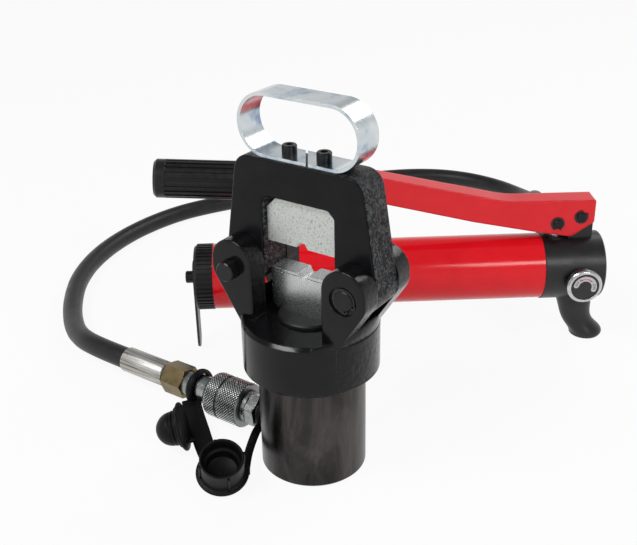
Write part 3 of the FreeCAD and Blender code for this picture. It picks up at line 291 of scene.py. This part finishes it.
def layHose(s):
    data = bpy.data.curves.new("hoseLine", "CURVE")
    data.dimensions = "3D"
    spline = data.splines.new("NURBS")
    spline.points.add(len(s["route"]) - 1)
    for point, place in zip(spline.points, s["route"]):
        point.co = (*place, 1)
    spline.order_u = 3
    spline.use_endpoint_u = True
    spline.resolution_u = s["stepsAlong"]
    data.bevel_depth = s["width"] / 2
    data.bevel_resolution = s["stepsRound"]
    data.use_fill_caps = True
    data.materials.append(paint["hoseCover"])
    hose = bpy.data.objects.new("hoseLine", data)
    scene.collection.objects.link(hose)
    return hose


hoseLine = layHose(hoseRun)
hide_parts("hose")
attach(hoseLine, "base")
print("hose laid")


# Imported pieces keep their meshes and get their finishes
packedFinishes = {
    "barrelSteel": ["cylinder_barrel"],
    "collarEnamel": ["clevis_collar"],
    "yokeEnamel": ["yoke_frame"],
    "rodSteel": ["ram_piston"],
    "dieSteel": ["lower_die"],
    "dieZinc": ["upper_die"],
    "strapZincTintAndPaintedReflection": ["carry_handle"],
    "sealPolyurethane": ["rod_wiper", "piston_seal", "plunger_seal"],
    "groundSteel": ["lower_die_pin", "upper_die_pin", "plunger", "release_stem", "release_ball", "inlet_ball"],
    "blackOxide": ["handle_screws", "hinge_pin", "lock_pin_front", "lock_pin_back", "tie_bolt", "foot_screw",
                   "plunger_gland", "fulcrum_pin", "link_pin"],
    "clipSteel": ["hinge_circlips", "fulcrum_clips", "link_clips"],
    "fittingZinc": ["coupler_nipple", "coupler_body", "outlet_adapter"],
    "sleeveZinc": ["coupler_sleeve"],
    "nutYellowZinc": ["head_hose_nut", "pump_hose_nut"],
    "ferruleAtHead": ["head_ferrule"],
    "ferruleAtPump": ["pump_ferrule"],
    "tubeRed": ["reservoir_tube"],
    "reservoirCapBlack": ["reservoir_cap"],
    "blockBlack": ["pump_block", "pump_foot", "stand_plate"],
    "leverRed": ["pump_lever"],
    "gripRubber": ["lever_grip"],
    "knobSteel": ["release_knob"],
    "dialBlack": ["release_dial"],
}
smoothing = {"angle": 32, "weld": 0.000004}


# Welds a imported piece's loose triangles and shades it smooth up to the edge angle
def smoothingTree(s):
    tree = bpy.data.node_groups.new("smoothTurnedFaces", "GeometryNodeTree")
    for way in ("INPUT", "OUTPUT"):
        tree.interface.new_socket("Geometry", in_out=way, socket_type="NodeSocketGeometry")
    start, end = addNode(tree, "NodeGroupInput"), addNode(tree, "NodeGroupOutput")
    weld = addNode(tree, "GeometryNodeMergeByDistance", {"Distance": s["weld"]})
    soft = addNode(tree, "GeometryNodeSetShadeSmooth")
    crisp = addNode(tree, "GeometryNodeSetShadeSmooth", {"Shade Smooth": False}, domain="EDGE")
    corner = addNode(tree, "GeometryNodeInputMeshEdgeAngle")
    limit = addNode(tree, "FunctionNodeCompare", {"B": math.radians(s["angle"])}, operation="GREATER_THAN")
    link = tree.links.new
    link(start.outputs[0], weld.inputs["Geometry"])
    link(weld.outputs[0], soft.inputs["Geometry"])
    link(soft.outputs[0], crisp.inputs["Geometry"])
    link(corner.outputs["Unsigned Angle"], limit.inputs["A"])
    link(limit.outputs[0], crisp.inputs["Selection"])
    link(crisp.outputs[0], end.inputs[0])
    return tree


smoothTurnedFaces = smoothingTree(smoothing)
for finishName, nodeNames in packedFinishes.items():
    for nodeName in nodeNames:
        node = cadNodes[nodeName]
        node.data.materials.clear()
        node.data.materials.append(paint[finishName])
        node.modifiers.new("smoothTurnedFaces", "NODES").node_group = smoothTurnedFaces
print("finishes on packed pieces")


# Helpers for the pieces made here
def finishPiece(name, mesh, material, body, smooth=True):
    for polygon in mesh.polygons:
        polygon.use_smooth = smooth
    if not mesh.materials:
        mesh.materials.append(material)
    piece = bpy.data.objects.new(name, mesh)
    scene.collection.objects.link(piece)
    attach(piece, body)
    return piece


def closeMesh(work, name):
    bmesh.ops.recalc_face_normals(work, faces=work.faces)
    mesh = bpy.data.meshes.new(name)
    work.to_mesh(mesh)
    work.free()
    return mesh


def skin(work, low, high):  # faces between two rings of as many points
    for i in range(len(low)):
        j = (i + 1) % len(low)
        work.faces.new((low[i], low[j], high[j], high[i]))


def arcPoints(cx, cz, radius, first, last, steps):
    return [(cx + radius * math.cos(math.radians(first + (last - first) * i / steps)),
             cz + radius * math.sin(math.radians(first + (last - first) * i / steps))) for i in range(steps + 1)]


def frameOf(origin, axis):  # its Z runs along axis and its Y leans upward
    z = Vector(axis).normalized()
    x = Vector((0, 0, 1)).cross(z)
    x = x.normalized() if x.length > 1e-6 else Vector((1, 0, 0))
    return Matrix.Translation(origin) @ Matrix((x, z.cross(x), z)).transposed().to_4x4()


# Turned shape from (radius, height) points, the first and last on the axis or joined to each other
def revolve(profile, steps, place):
    work = bmesh.new()
    rings = []
    for radius, height in profile:
        if radius < 1e-7:
            rings.append([work.verts.new(place @ Vector((0, 0, height)))])
        else:
            rings.append([work.verts.new(place @ Vector((radius * math.cos(a), radius * math.sin(a), height)))
                          for a in (2 * math.pi * i / steps for i in range(steps))])
    for low, high in zip(rings, rings[1:]):
        if len(low) == len(high):
            skin(work, low, high)
            continue
        tip, rim = (low[0], high) if len(low) == 1 else (high[0], low)
        for i in range(steps):
            work.faces.new((tip, rim[i], rim[(i + 1) % steps]))
    return work


# Bent strap with rounded edges: a smooth line through points, its flat side facing face
def ribbon(work, points, width, thick, face, steps):
    line = []
    extended = [points[0] * 2 - points[1]] + points + [points[-1] * 2 - points[-2]]
    for k in range(len(points) - 1):
        p0, p1, p2, p3 = extended[k:k + 4]
        for i in range(steps + (k == len(points) - 2)):
            t = i / steps
            line.append(0.5 * (2 * p1 + (p2 - p0) * t + (2 * p0 - 5 * p1 + 4 * p2 - p3) * t * t
                               + (3 * p1 - p0 - 3 * p2 + p3) * t * t * t))
    corner = thick * 0.42  # edges nearly half round
    outline = []
    for sx, sz, first in ((1, 1, 0), (-1, 1, 90), (-1, -1, 180), (1, -1, 270)):
        outline += arcPoints(sx * (width / 2 - corner), sz * (thick / 2 - corner), corner, first, first + 90, 3)
    rings = []
    for i, here in enumerate(line):
        ahead = (line[min(i + 1, len(line) - 1)] - line[max(i - 1, 0)]).normalized()
        across = face.cross(ahead).normalized()
        up = ahead.cross(across)
        rings.append([work.verts.new(here + across * x + up * z) for x, z in outline])
    for low, high in zip(rings, rings[1:]):
        skin(work, low, high)
    work.faces.new(list(reversed(rings[0])))
    work.faces.new(rings[-1])


def strap(work, s):
    ribbon(work, [Vector(point) for point in s["path"]], s["width"], s["thick"], Vector(s["face"]), s["steps"])


def strapRing(work, s):  # the strap's own loop, round the coupler's axis
    half, (section, steps) = s["thick"] / 2, s["steps"]
    outline = [(s["radius"] + half + half * math.cos(a), s["width"] / 2 * math.sin(a))
               for a in (2 * math.pi * i / section for i in range(section))]
    hoop = revolve(outline + outline[:1], steps, frameOf((s["x"], 0, knurl["port"]), (-1, 0, 0)))
    bmesh.ops.remove_doubles(hoop, verts=hoop.verts, dist=1e-6)
    shape = bpy.data.meshes.new("hoop")
    hoop.to_mesh(shape)
    hoop.free()
    work.from_mesh(shape)
    bpy.data.meshes.remove(shape)


# Knurl: rows of small pyramids round the coupler's sleeve. toothTop and toothFoot are shares of the pitch.
knurl = {"radius": 0.0220, "starts": 46, "height": 0.00080, "port": 0.0275, "sink": 0.00008,
         "toothTop": 0.34, "toothFoot": 0.97, "bands": [(-0.0790, -0.1024), (-0.1048, -0.1178)],
         # Its colours are painted shade down in the valleys and a painted highlight on the tooth tops
         "paintedHighlightAt": 0.00063, "grain": 900, "rough": (0.20, 0.34),
         "stops": [(0.0, (0.010, 0.012, 0.012)), (0.5, (0.07, 0.08, 0.08)), (0.95, (0.74, 0.78, 0.76))]}


# Painted shade in the valleys and a painted highlight on the tooth tops, by distance from the sleeve's axis
def paintKnurlShadeAndHighlight(name, s):
    material, tree, shader = startMaterial(name)
    place = addNode(tree, "ShaderNodeSeparateXYZ")
    tree.links.new(objectSpace(tree), place.inputs["Vector"])
    flat = addNode(tree, "ShaderNodeCombineXYZ")
    tree.links.new(place.outputs["Y"], flat.inputs["Y"])
    tree.links.new(calc(tree, "SUBTRACT", place.outputs["Z"], s["port"]), flat.inputs["Z"])
    reach = addNode(tree, "ShaderNodeVectorMath", operation="LENGTH")
    tree.links.new(flat.outputs[0], reach.inputs[0])
    height = spread(tree, reach.outputs["Value"], 0.0, 1.0, s["radius"], s["radius"] + s["paintedHighlightAt"])
    tree.links.new(colourBand(tree, height, s["stops"]), shader.inputs["Base Color"])
    shader.inputs["Metallic"].default_value = 1.0
    grain = noiseField(tree, objectSpace(tree), s["grain"], 2.0)
    tree.links.new(spread(tree, grain, *s["rough"]), shader.inputs["Roughness"])
    return material


def knurlTree(s):
    tree = bpy.data.node_groups.new("sleeveKnurl", "GeometryNodeTree")
    tree.interface.new_socket("Geometry", in_out="OUTPUT", socket_type="NodeSocketGeometry")
    for label, kind in (("Start", "Float"), ("Rows", "Int"), ("Radius", "Float"), ("Starts", "Int"),
                        ("Height", "Float"), ("Material", "Material")):
        tree.interface.new_socket(label, in_out="INPUT", socket_type="NodeSocket" + kind)
    link = tree.links.new
    start, end = addNode(tree, "NodeGroupInput"), addNode(tree, "NodeGroupOutput")
    first, rows, radius, starts, height, material = [start.outputs[k] for k in range(6)]
    points = addNode(tree, "GeometryNodePoints")
    link(calc(tree, "MULTIPLY", rows, starts), points.inputs["Count"])
    index = addNode(tree, "GeometryNodeInputIndex").outputs[0]
    row = calc(tree, "FLOOR", calc(tree, "DIVIDE", calc(tree, "ADD", index, 0.5), starts))
    column = calc(tree, "SUBTRACT", index, calc(tree, "MULTIPLY", row, starts))
    half = calc(tree, "MULTIPLY", calc(tree, "MODULO", row, 2.0), 0.5)  # odd rows sit between the even ones
    angle = calc(tree, "MULTIPLY", calc(tree, "DIVIDE", calc(tree, "ADD", column, half), starts), 2 * math.pi)
    pitch = calc(tree, "DIVIDE", calc(tree, "MULTIPLY", radius, math.pi), starts)
    outward = addNode(tree, "ShaderNodeCombineXYZ")
    link(calc(tree, "COSINE", angle), outward.inputs["Y"])
    link(calc(tree, "SINE", angle), outward.inputs["Z"])
    place = addNode(tree, "ShaderNodeVectorMath", operation="SCALE")
    link(outward.outputs[0], place.inputs[0])
    link(calc(tree, "SUBTRACT", radius, s["sink"]), place.inputs["Scale"])
    along = addNode(tree, "ShaderNodeCombineXYZ", {"Z": s["port"]})
    link(calc(tree, "SUBTRACT", first, calc(tree, "MULTIPLY", row, pitch)), along.inputs["X"])
    spot = addNode(tree, "ShaderNodeVectorMath", operation="ADD")
    link(place.outputs[0], spot.inputs[0])
    link(along.outputs[0], spot.inputs[1])
    put = addNode(tree, "GeometryNodeSetPosition")
    link(points.outputs[0], put.inputs["Geometry"])
    link(spot.outputs[0], put.inputs["Position"])
    aim = addNode(tree, "FunctionNodeAlignRotationToVector", axis="Z")
    link(outward.outputs[0], aim.inputs["Vector"])
    level = addNode(tree, "FunctionNodeAlignRotationToVector", {"Vector": (1, 0, 0)}, axis="X", pivot_axis="Z")
    link(aim.outputs[0], level.inputs["Rotation"])
    tooth = addNode(tree, "GeometryNodeMeshCone", {"Vertices": 4}, fill_type="NGON")
    link(calc(tree, "MULTIPLY", pitch, s["toothTop"]), tooth.inputs["Radius Top"])
    link(calc(tree, "MULTIPLY", pitch, s["toothFoot"]), tooth.inputs["Radius Bottom"])
    link(height, tooth.inputs["Depth"])
    spray = addNode(tree, "GeometryNodeInstanceOnPoints")
    link(put.outputs[0], spray.inputs["Points"])
    link(tooth.outputs["Mesh"], spray.inputs["Instance"])
    link(level.outputs[0], spray.inputs["Rotation"])
    solid = addNode(tree, "GeometryNodeRealizeInstances")
    link(spray.outputs[0], solid.inputs[0])
    dress = addNode(tree, "GeometryNodeSetMaterial")
    link(solid.outputs[0], dress.inputs["Geometry"])
    link(material, dress.inputs["Material"])
    link(dress.outputs[0], end.inputs[0])
    return tree


# Runs a tree on an empty mesh with its named inputs and returns the plain mesh
def meshFromTree(name, tree, values):
    carrier = bpy.data.objects.new(name + "Carrier", bpy.data.meshes.new(name + "Carrier"))
    scene.collection.objects.link(carrier)
    modifier = carrier.modifiers.new(name, "NODES")
    modifier.node_group = tree
    for item in tree.interface.items_tree:
        if item.in_out == "INPUT" and item.name in values:
            modifier[item.identifier] = values[item.name]
    carrier.update_tag()
    graph = bpy.context.evaluated_depsgraph_get()
    mesh = bpy.data.meshes.new_from_object(carrier.evaluated_get(graph), preserve_all_data_layers=True,
                                           depsgraph=graph)
    bpy.data.objects.remove(carrier)
    mesh.name = name
    return mesh


paint["knurlPaintedShadeAndHighlight"] = paintKnurlShadeAndHighlight("knurlPaintedShadeAndHighlight", knurl)
sleeveKnurl = knurlTree(knurl)
rowPitch = math.pi * knurl["radius"] / knurl["starts"]
for number, (bandStart, bandEnd) in enumerate(knurl["bands"]):
    name = "knurlBand%d" % (number + 1)
    mesh = meshFromTree(name, sleeveKnurl, {
        "Start": bandStart - rowPitch / 2, "Rows": int((bandStart - bandEnd) / rowPitch), "Radius": knurl["radius"],
        "Starts": knurl["starts"], "Height": knurl["height"], "Material": paint["knurlPaintedShadeAndHighlight"]})
    finishPiece(name, mesh, paint["knurlPaintedShadeAndHighlight"], "sleeve", smooth=False)
print("sleeve knurled")


# Casting shoulders: between each pair of ears the collar's rim rises to meet them
shoulder = {"radius": 0.0619, "foot": 0.1470, "rim": 0.1525, "sink": 0.0003, "crest": 0.0002, "rise": 0.0120,
            "fall": 1.6, "edge": 0.0030, "width": 0.0085, "endWidth": 0.25, "halfTurn": 56, "steps": 44,
            "sides": {"Right": 0, "Left": 180}}


def raiseShoulder(s, middle):
    work = bmesh.new()
    rings = []
    for step in range(s["steps"] + 1):
        part = 2 * step / s["steps"] - 1
        turn = math.radians(middle + part * s["halfTurn"])
        lift = s["rise"] * math.cos(part * math.pi / 2) ** s["fall"]
        inner = s["radius"] - s["edge"]
        reach = s["width"] * (s["endWidth"] + (1 - s["endWidth"]) * lift / s["rise"])
        profile = [(s["radius"], s["foot"])]
        profile += arcPoints(inner, s["rim"] + lift - s["edge"], s["edge"], 0, 90, 4)  # rounded outer edge
        for a in (math.pi * k / 10 for k in range(1, 6)):  # hollow inner slope
            profile.append((inner - reach * (1 - math.cos(a)),
                            s["rim"] - s["sink"] + (lift + s["crest"]) * (1 - math.sin(a))))
        profile.append((inner - reach, s["foot"]))
        rings.append([work.verts.new((r * math.cos(turn), r * math.sin(turn), z)) for r, z in profile])
    for one, two in zip(rings, rings[1:]):
        skin(work, one, two)
    work.faces.new(rings[0])
    work.faces.new(list(reversed(rings[-1])))
    return work


for side, middle in shoulder["sides"].items():
    name = "collarShoulder" + side
    finishPiece(name, closeMesh(raiseShoulder(shoulder, middle), name), paint["collarEnamel"], "base")
print("collar shoulders raised")


# Return spring: a copy of the imported coil, its doubled points merged
coil = {"travel": 0.0247, "merge": 0.000001}
coilWork = bmesh.new()
coilWork.from_mesh(cadNodes["return_spring"].data)
bmesh.ops.remove_doubles(coilWork, verts=coilWork.verts, dist=coil["merge"])
coilPiece = finishPiece("returnCoil", closeMesh(coilWork, "returnCoil"), paint["clipSteel"], "base")
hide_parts("return_spring")
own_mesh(coilPiece)
print("return spring coiled")


# Dust cap of the nipple: a ribbed cup on its strap. waist is (out from radius, height), well (in from wall, height).
cup = {"place": (-0.045, -0.081, 0.0122), "tilt": 25.0, "towards": (0.671, -0.741), "flange": 0.0245,
       "radius": 0.0202, "wall": 0.0026, "height": 0.027, "steps": 72, "lip": 0.0014, "mouth": 0.0011,
       "waist": [(0.0010, 0.0032), (0.0002, 0.0040), (0, 0.0055)],
       "well": [(0, 0.0165), (0.0006, 0.0145), (0.0026, 0.0140), (0.0032, 0.0130), (0.0034, 0.0050),
                (0.0045, 0.0042)], "bottom": 0.0042,
       "rib": {"count": 4, "width": 0.0024, "thick": 0.0026, "shift": 0.15, "out": 0.00035, "foot": 0.0032,
               "below": 0.0028, "steps": 3},
       "ring": {"x": -0.0555, "radius": 0.0113, "thick": 0.0045, "width": 0.0062, "steps": (16, 56)},
       "strap": {"width": 0.0080, "thick": 0.0032, "face": (0.6, -0.1, 1), "steps": 8, "path": [
           (-0.0555, -0.0118, 0.0188), (-0.0528, -0.0225, 0.0168), (-0.0425, -0.0450, 0.0150),
           (-0.0318, -0.0630, 0.0135), (-0.0268, -0.0700, 0.0115)]}}


def mouldCup(s):
    tilt = math.radians(s["tilt"])
    axis = Vector((0, 0, math.cos(tilt))) + Vector((*s["towards"], 0)).normalized() * math.sin(tilt)
    place = frameOf(s["place"], axis)
    r, f, h, lip, mouth, rib = (s[k] for k in ("radius", "flange", "height", "lip", "mouth", "rib"))
    inside = r - s["wall"]
    outline = ([(0, 0), (f * 0.6, 0), (f - lip, 0.0001)] + arcPoints(f - lip, lip + 0.0001, lip, -80, 80, 6)
               + [(f - 0.0018, 0.0030)] + [(r + out, z) for out, z in s["waist"]] + [(r, h - 0.0012)]
               + arcPoints(r - mouth, h - mouth, mouth, 10, 170, 6) + [(inside, h - 0.0016)]
               + [(inside - deep, z) for deep, z in s["well"]] + [(0, s["bottom"])])
    work = revolve(outline, s["steps"], place)
    low, high = rib["foot"], h - rib["below"]
    for i in range(rib["count"]):
        swing = place @ Matrix.Rotation(2 * math.pi * (i + rib["shift"]) / rib["count"], 4, "Z")
        points = [swing @ Vector((r + rib["out"], 0, low + (high - low) * k / 3)) for k in range(4)]
        ribbon(work, points, rib["width"], rib["thick"], swing.to_3x3() @ Vector((1, 0, 0)), rib["steps"])
    strapRing(work, s["ring"])
    strap(work, s["strap"])
    return work


cupPiece = finishPiece("nippleDustCup", closeMesh(mouldCup(cup), "nippleDustCup"), paint["capRubber"], "base")
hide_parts("nipple_dust_cap")


# Dust plug of the coupler: a domed plug on its wide strap. neck and grooves are (out from radius, height).
plug = {"place": (-0.1070, -0.0620, 0.0285), "axis": (-0.78, -0.575, -0.22), "flange": 0.0235, "radius": 0.0163,
        "length": 0.027, "steps": 72, "lip": 0.0012, "neck": [(0.0036, 0.0025), (0.0034, 0.0034)],
        "bead": {"out": 0.0024, "height": 0.0046, "radius": 0.0010},
        "grooves": [(0.0004, 0.0058), (-0.0012, 0.0066), (-0.0012, 0.0078), (0.0004, 0.0084), (0.0006, 0.0096),
                    (-0.0006, 0.0102), (-0.0006, 0.0108)],
        "ring": {"x": -0.141, "radius": 0.0138, "thick": 0.0052, "width": 0.0080, "steps": (16, 56)},
        "strap": {"width": 0.0190, "thick": 0.0030, "face": (0.1, -0.25, 1), "steps": 8, "path": [
            (-0.1410, -0.0140, 0.0190), (-0.1260, -0.0268, 0.0160), (-0.1060, -0.0420, 0.0118),
            (-0.0910, -0.0530, 0.0072), (-0.0770, -0.0620, 0.0040)]},
        "tab": {"width": 0.0090, "thick": 0.0026, "face": (0, 0, 1), "steps": 6, "path": [
            (-0.1050, -0.0450, 0.0095), (-0.1062, -0.0545, 0.0090), (-0.1080, -0.0625, 0.0112)]}}


def mouldPlug(s):
    f, r, length, lip, bead = (s[k] for k in ("flange", "radius", "length", "lip", "bead"))
    outline = ([(0, 0), (f * 0.7, 0)] + arcPoints(f - lip, lip, lip, -90, 90, 6)
               + [(r + out, z) for out, z in s["neck"]]
               + arcPoints(r + bead["out"], bead["height"], bead["radius"], -40, 90, 4)
               + [(r + out, z) for out, z in s["grooves"]] + arcPoints(0, length - r, r, 2, 84, 10) + [(0, length)])
    work = revolve(outline, s["steps"], frameOf(s["place"], s["axis"]))
    strapRing(work, s["ring"])
    strap(work, s["strap"])
    strap(work, s["tab"])
    return work


plugPiece = finishPiece("couplerDustPlug", closeMesh(mouldPlug(plug), "couplerDustPlug"), paint["capRubber"], "base")
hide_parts("coupler_dust_plug")
print("dust caps moulded")


# Dial: a pale band with the two words and an arrow on it, over the knob's black face. Angles are in degrees.
dial = {"centre": (0.4255, -0.0498, 0.0826), "arcRadius": 0.0099, "arcWidth": 0.0056, "from": -18.0, "to": 168.0,
        "lift": 0.00008, "thick": 0.00006, "steps": 48, "letterSize": 0.0040, "letterLift": 0.0001,
        "letters": [("O", 160), ("F", 141), ("F", 124), ("O", 14), ("N", -9)],
        "arrow": {"radius": 0.0094, "width": 0.0007, "from": 52, "to": 112, "steps": 20, "head": 14,
                  "headHalf": 0.0011, "lift": 0.00016}}
pump = {"place": (-0.231, 0.098, 0), "turn": 37}  # where part.py sets the pump down
dialPlace = (Matrix.Translation(pump["place"]) @ Matrix.Rotation(math.radians(pump["turn"]), 4, "Z")
             @ Matrix.Translation(dial["centre"]) @ Matrix.Rotation(math.radians(90), 4, "X"))


def slab(work, outline, lift):  # thin plate of a flat outline on the dial
    top = [work.verts.new(dialPlace @ Vector((x, y, lift + dial["thick"]))) for x, y in outline]
    low = [work.verts.new(dialPlace @ Vector((x, y, lift - dial["thick"]))) for x, y in outline]
    work.faces.new(top)
    work.faces.new(list(reversed(low)))
    skin(work, low, top)


def roundBand(s):
    half = s["arcWidth"] / 2
    (startX, startY), (endX, endY) = arcPoints(0, 0, s["arcRadius"], s["from"], s["to"], 1)
    outline = (arcPoints(0, 0, s["arcRadius"] + half, s["from"], s["to"], s["steps"])
               + arcPoints(endX, endY, half, s["to"] + 22.5, s["to"] + 157.5, 6)
               + arcPoints(0, 0, s["arcRadius"] - half, s["to"], s["from"], s["steps"])
               + arcPoints(startX, startY, half, s["from"] + 202.5, s["from"] + 337.5, 6))
    work = bmesh.new()
    slab(work, outline, s["lift"])
    return closeMesh(work, "dialBand")


def turnArrow(s):  # both its ends are heads
    work = bmesh.new()
    slab(work, arcPoints(0, 0, s["radius"] + s["width"] / 2, s["from"], s["to"], s["steps"])
         + arcPoints(0, 0, s["radius"] - s["width"] / 2, s["to"], s["from"], s["steps"]), s["lift"])
    for at, way in ((s["from"], -1), (s["to"], 1)):
        a, tip = math.radians(at), math.radians(at + way * s["head"])
        sides = [((s["radius"] + k) * math.cos(a), (s["radius"] + k) * math.sin(a))
                 for k in (-way * s["headHalf"], way * s["headHalf"])]
        slab(work, [(s["radius"] * math.cos(tip), s["radius"] * math.sin(tip))] + sides, s["lift"])
    return closeMesh(work, "dialArrow")


def dialLetter(name, letter, at, s):
    data = bpy.data.curves.new(name, "FONT")
    data.body, data.size, data.extrude = letter, s["letterSize"], s["thick"]
    data.align_x, data.align_y = "CENTER", "CENTER"
    text = bpy.data.objects.new(name, data)
    scene.collection.objects.link(text)
    graph = bpy.context.evaluated_depsgraph_get()
    mesh = bpy.data.meshes.new_from_object(text.evaluated_get(graph))
    bpy.data.objects.remove(text)
    a = math.radians(at)
    spot = (s["arcRadius"] * math.cos(a), s["arcRadius"] * math.sin(a), s["lift"] + s["letterLift"])
    mesh.transform(dialPlace @ Matrix.Translation(spot) @ Matrix.Rotation(a - math.pi / 2, 4, "Z"))
    mesh.name = name
    finishPiece(name, mesh, paint["dialBlack"], "release", smooth=False)


finishPiece("dialBand", roundBand(dial), paint["dialPale"], "release", smooth=False)
finishPiece("dialArrow", turnArrow(dial["arrow"]), paint["dialRed"], "release", smooth=False)
for number, (letter, at) in enumerate(dial["letters"]):
    dialLetter("dialLetter%d" % (number + 1), letter, at, dial)
print("dial drawn")


# Stage: floor, surroundings and lamps
stage = {"half": 6.0, "grey": 0.86, "rough": 0.7, "glow": 0.92}
sky = {"dim": 0.55, "stops": [(0.10, (1, 1, 1)), (0.65, (0.34, 0.34, 0.35))]}  # from the horizon to overhead
lamps = {
    "keyLamp": {"place": (-0.5, -1.3, 1.9), "aim": (-0.05, 0.1, 0.15), "size": (1.3, 0.35), "power": 24},
    "fillLamp": {"place": (1.5, -0.6, 1.2), "aim": (0.0, 0.1, 0.15), "size": (0.7, 0.35), "power": 9},
    "rimLamp": {"place": (0.4, 1.9, 1.7), "aim": (0.0, 0.2, 0.15), "size": (1.4, 0.7), "power": 14},
}


def seesWhite(tree):  # 1 for the rays that show the white background
    path = addNode(tree, "ShaderNodeLightPath")
    seen = calc(tree, "MAXIMUM", path.outputs["Is Camera Ray"], path.outputs["Is Glossy Ray"])
    return calc(tree, "MAXIMUM", seen, path.outputs["Is Transmission Ray"])


def paleFloor(s):
    mesh = bpy.data.meshes.new("paleFloor")
    half = s["half"]
    mesh.from_pydata([(-half, -half, 0), (half, -half, 0), (half, half, 0), (-half, half, 0)], [], [(0, 1, 2, 3)])
    material, tree, shader = startMaterial("paleFloor")
    shader.inputs["Base Color"].default_value = (s["grey"], s["grey"], s["grey"], 1)
    shader.inputs["Roughness"].default_value = s["rough"]
    glow = addNode(tree, "ShaderNodeEmission", {"Color": (1, 1, 1, 1), "Strength": 1.0})
    mix = addNode(tree, "ShaderNodeMixShader")
    tree.links.new(calc(tree, "MULTIPLY", seesWhite(tree), s["glow"]), mix.inputs["Fac"])
    tree.links.new(shader.outputs[0], mix.inputs[1])
    tree.links.new(glow.outputs[0], mix.inputs[2])
    tree.links.new(mix.outputs[0], tree.nodes["Material Output"].inputs["Surface"])
    mesh.materials.append(material)
    floor = bpy.data.objects.new("paleFloor", mesh)
    scene.collection.objects.link(floor)


def paleWorld(s):
    world = bpy.data.worlds.new("paleWorld")
    scene.world = world
    world.use_nodes = True
    tree = world.node_tree
    back = tree.nodes["Background"]
    tree.links.new(spread(tree, seesWhite(tree), s["dim"], 1.0, 0.0, 1.0), back.inputs["Strength"])
    split = addNode(tree, "ShaderNodeSeparateXYZ")
    tree.links.new(addNode(tree, "ShaderNodeTexCoord").outputs["Generated"], split.inputs["Vector"])
    tree.links.new(colourBand(tree, split.outputs["Z"], s["stops"]), back.inputs["Color"])


def softLamp(name, s):
    data = bpy.data.lights.new(name, "AREA")
    data.shape, data.energy = "RECTANGLE", s["power"]
    data.size, data.size_y = s["size"]
    lamp = bpy.data.objects.new(name, data)
    lamp.location = s["place"]
    lamp.rotation_euler = (Vector(s["aim"]) - Vector(s["place"])).to_track_quat("-Z", "Y").to_euler()
    scene.collection.objects.link(lamp)


paleFloor(stage)
paleWorld(sky)
for name, s in lamps.items():
    softLamp(name, s)
print("stage set")
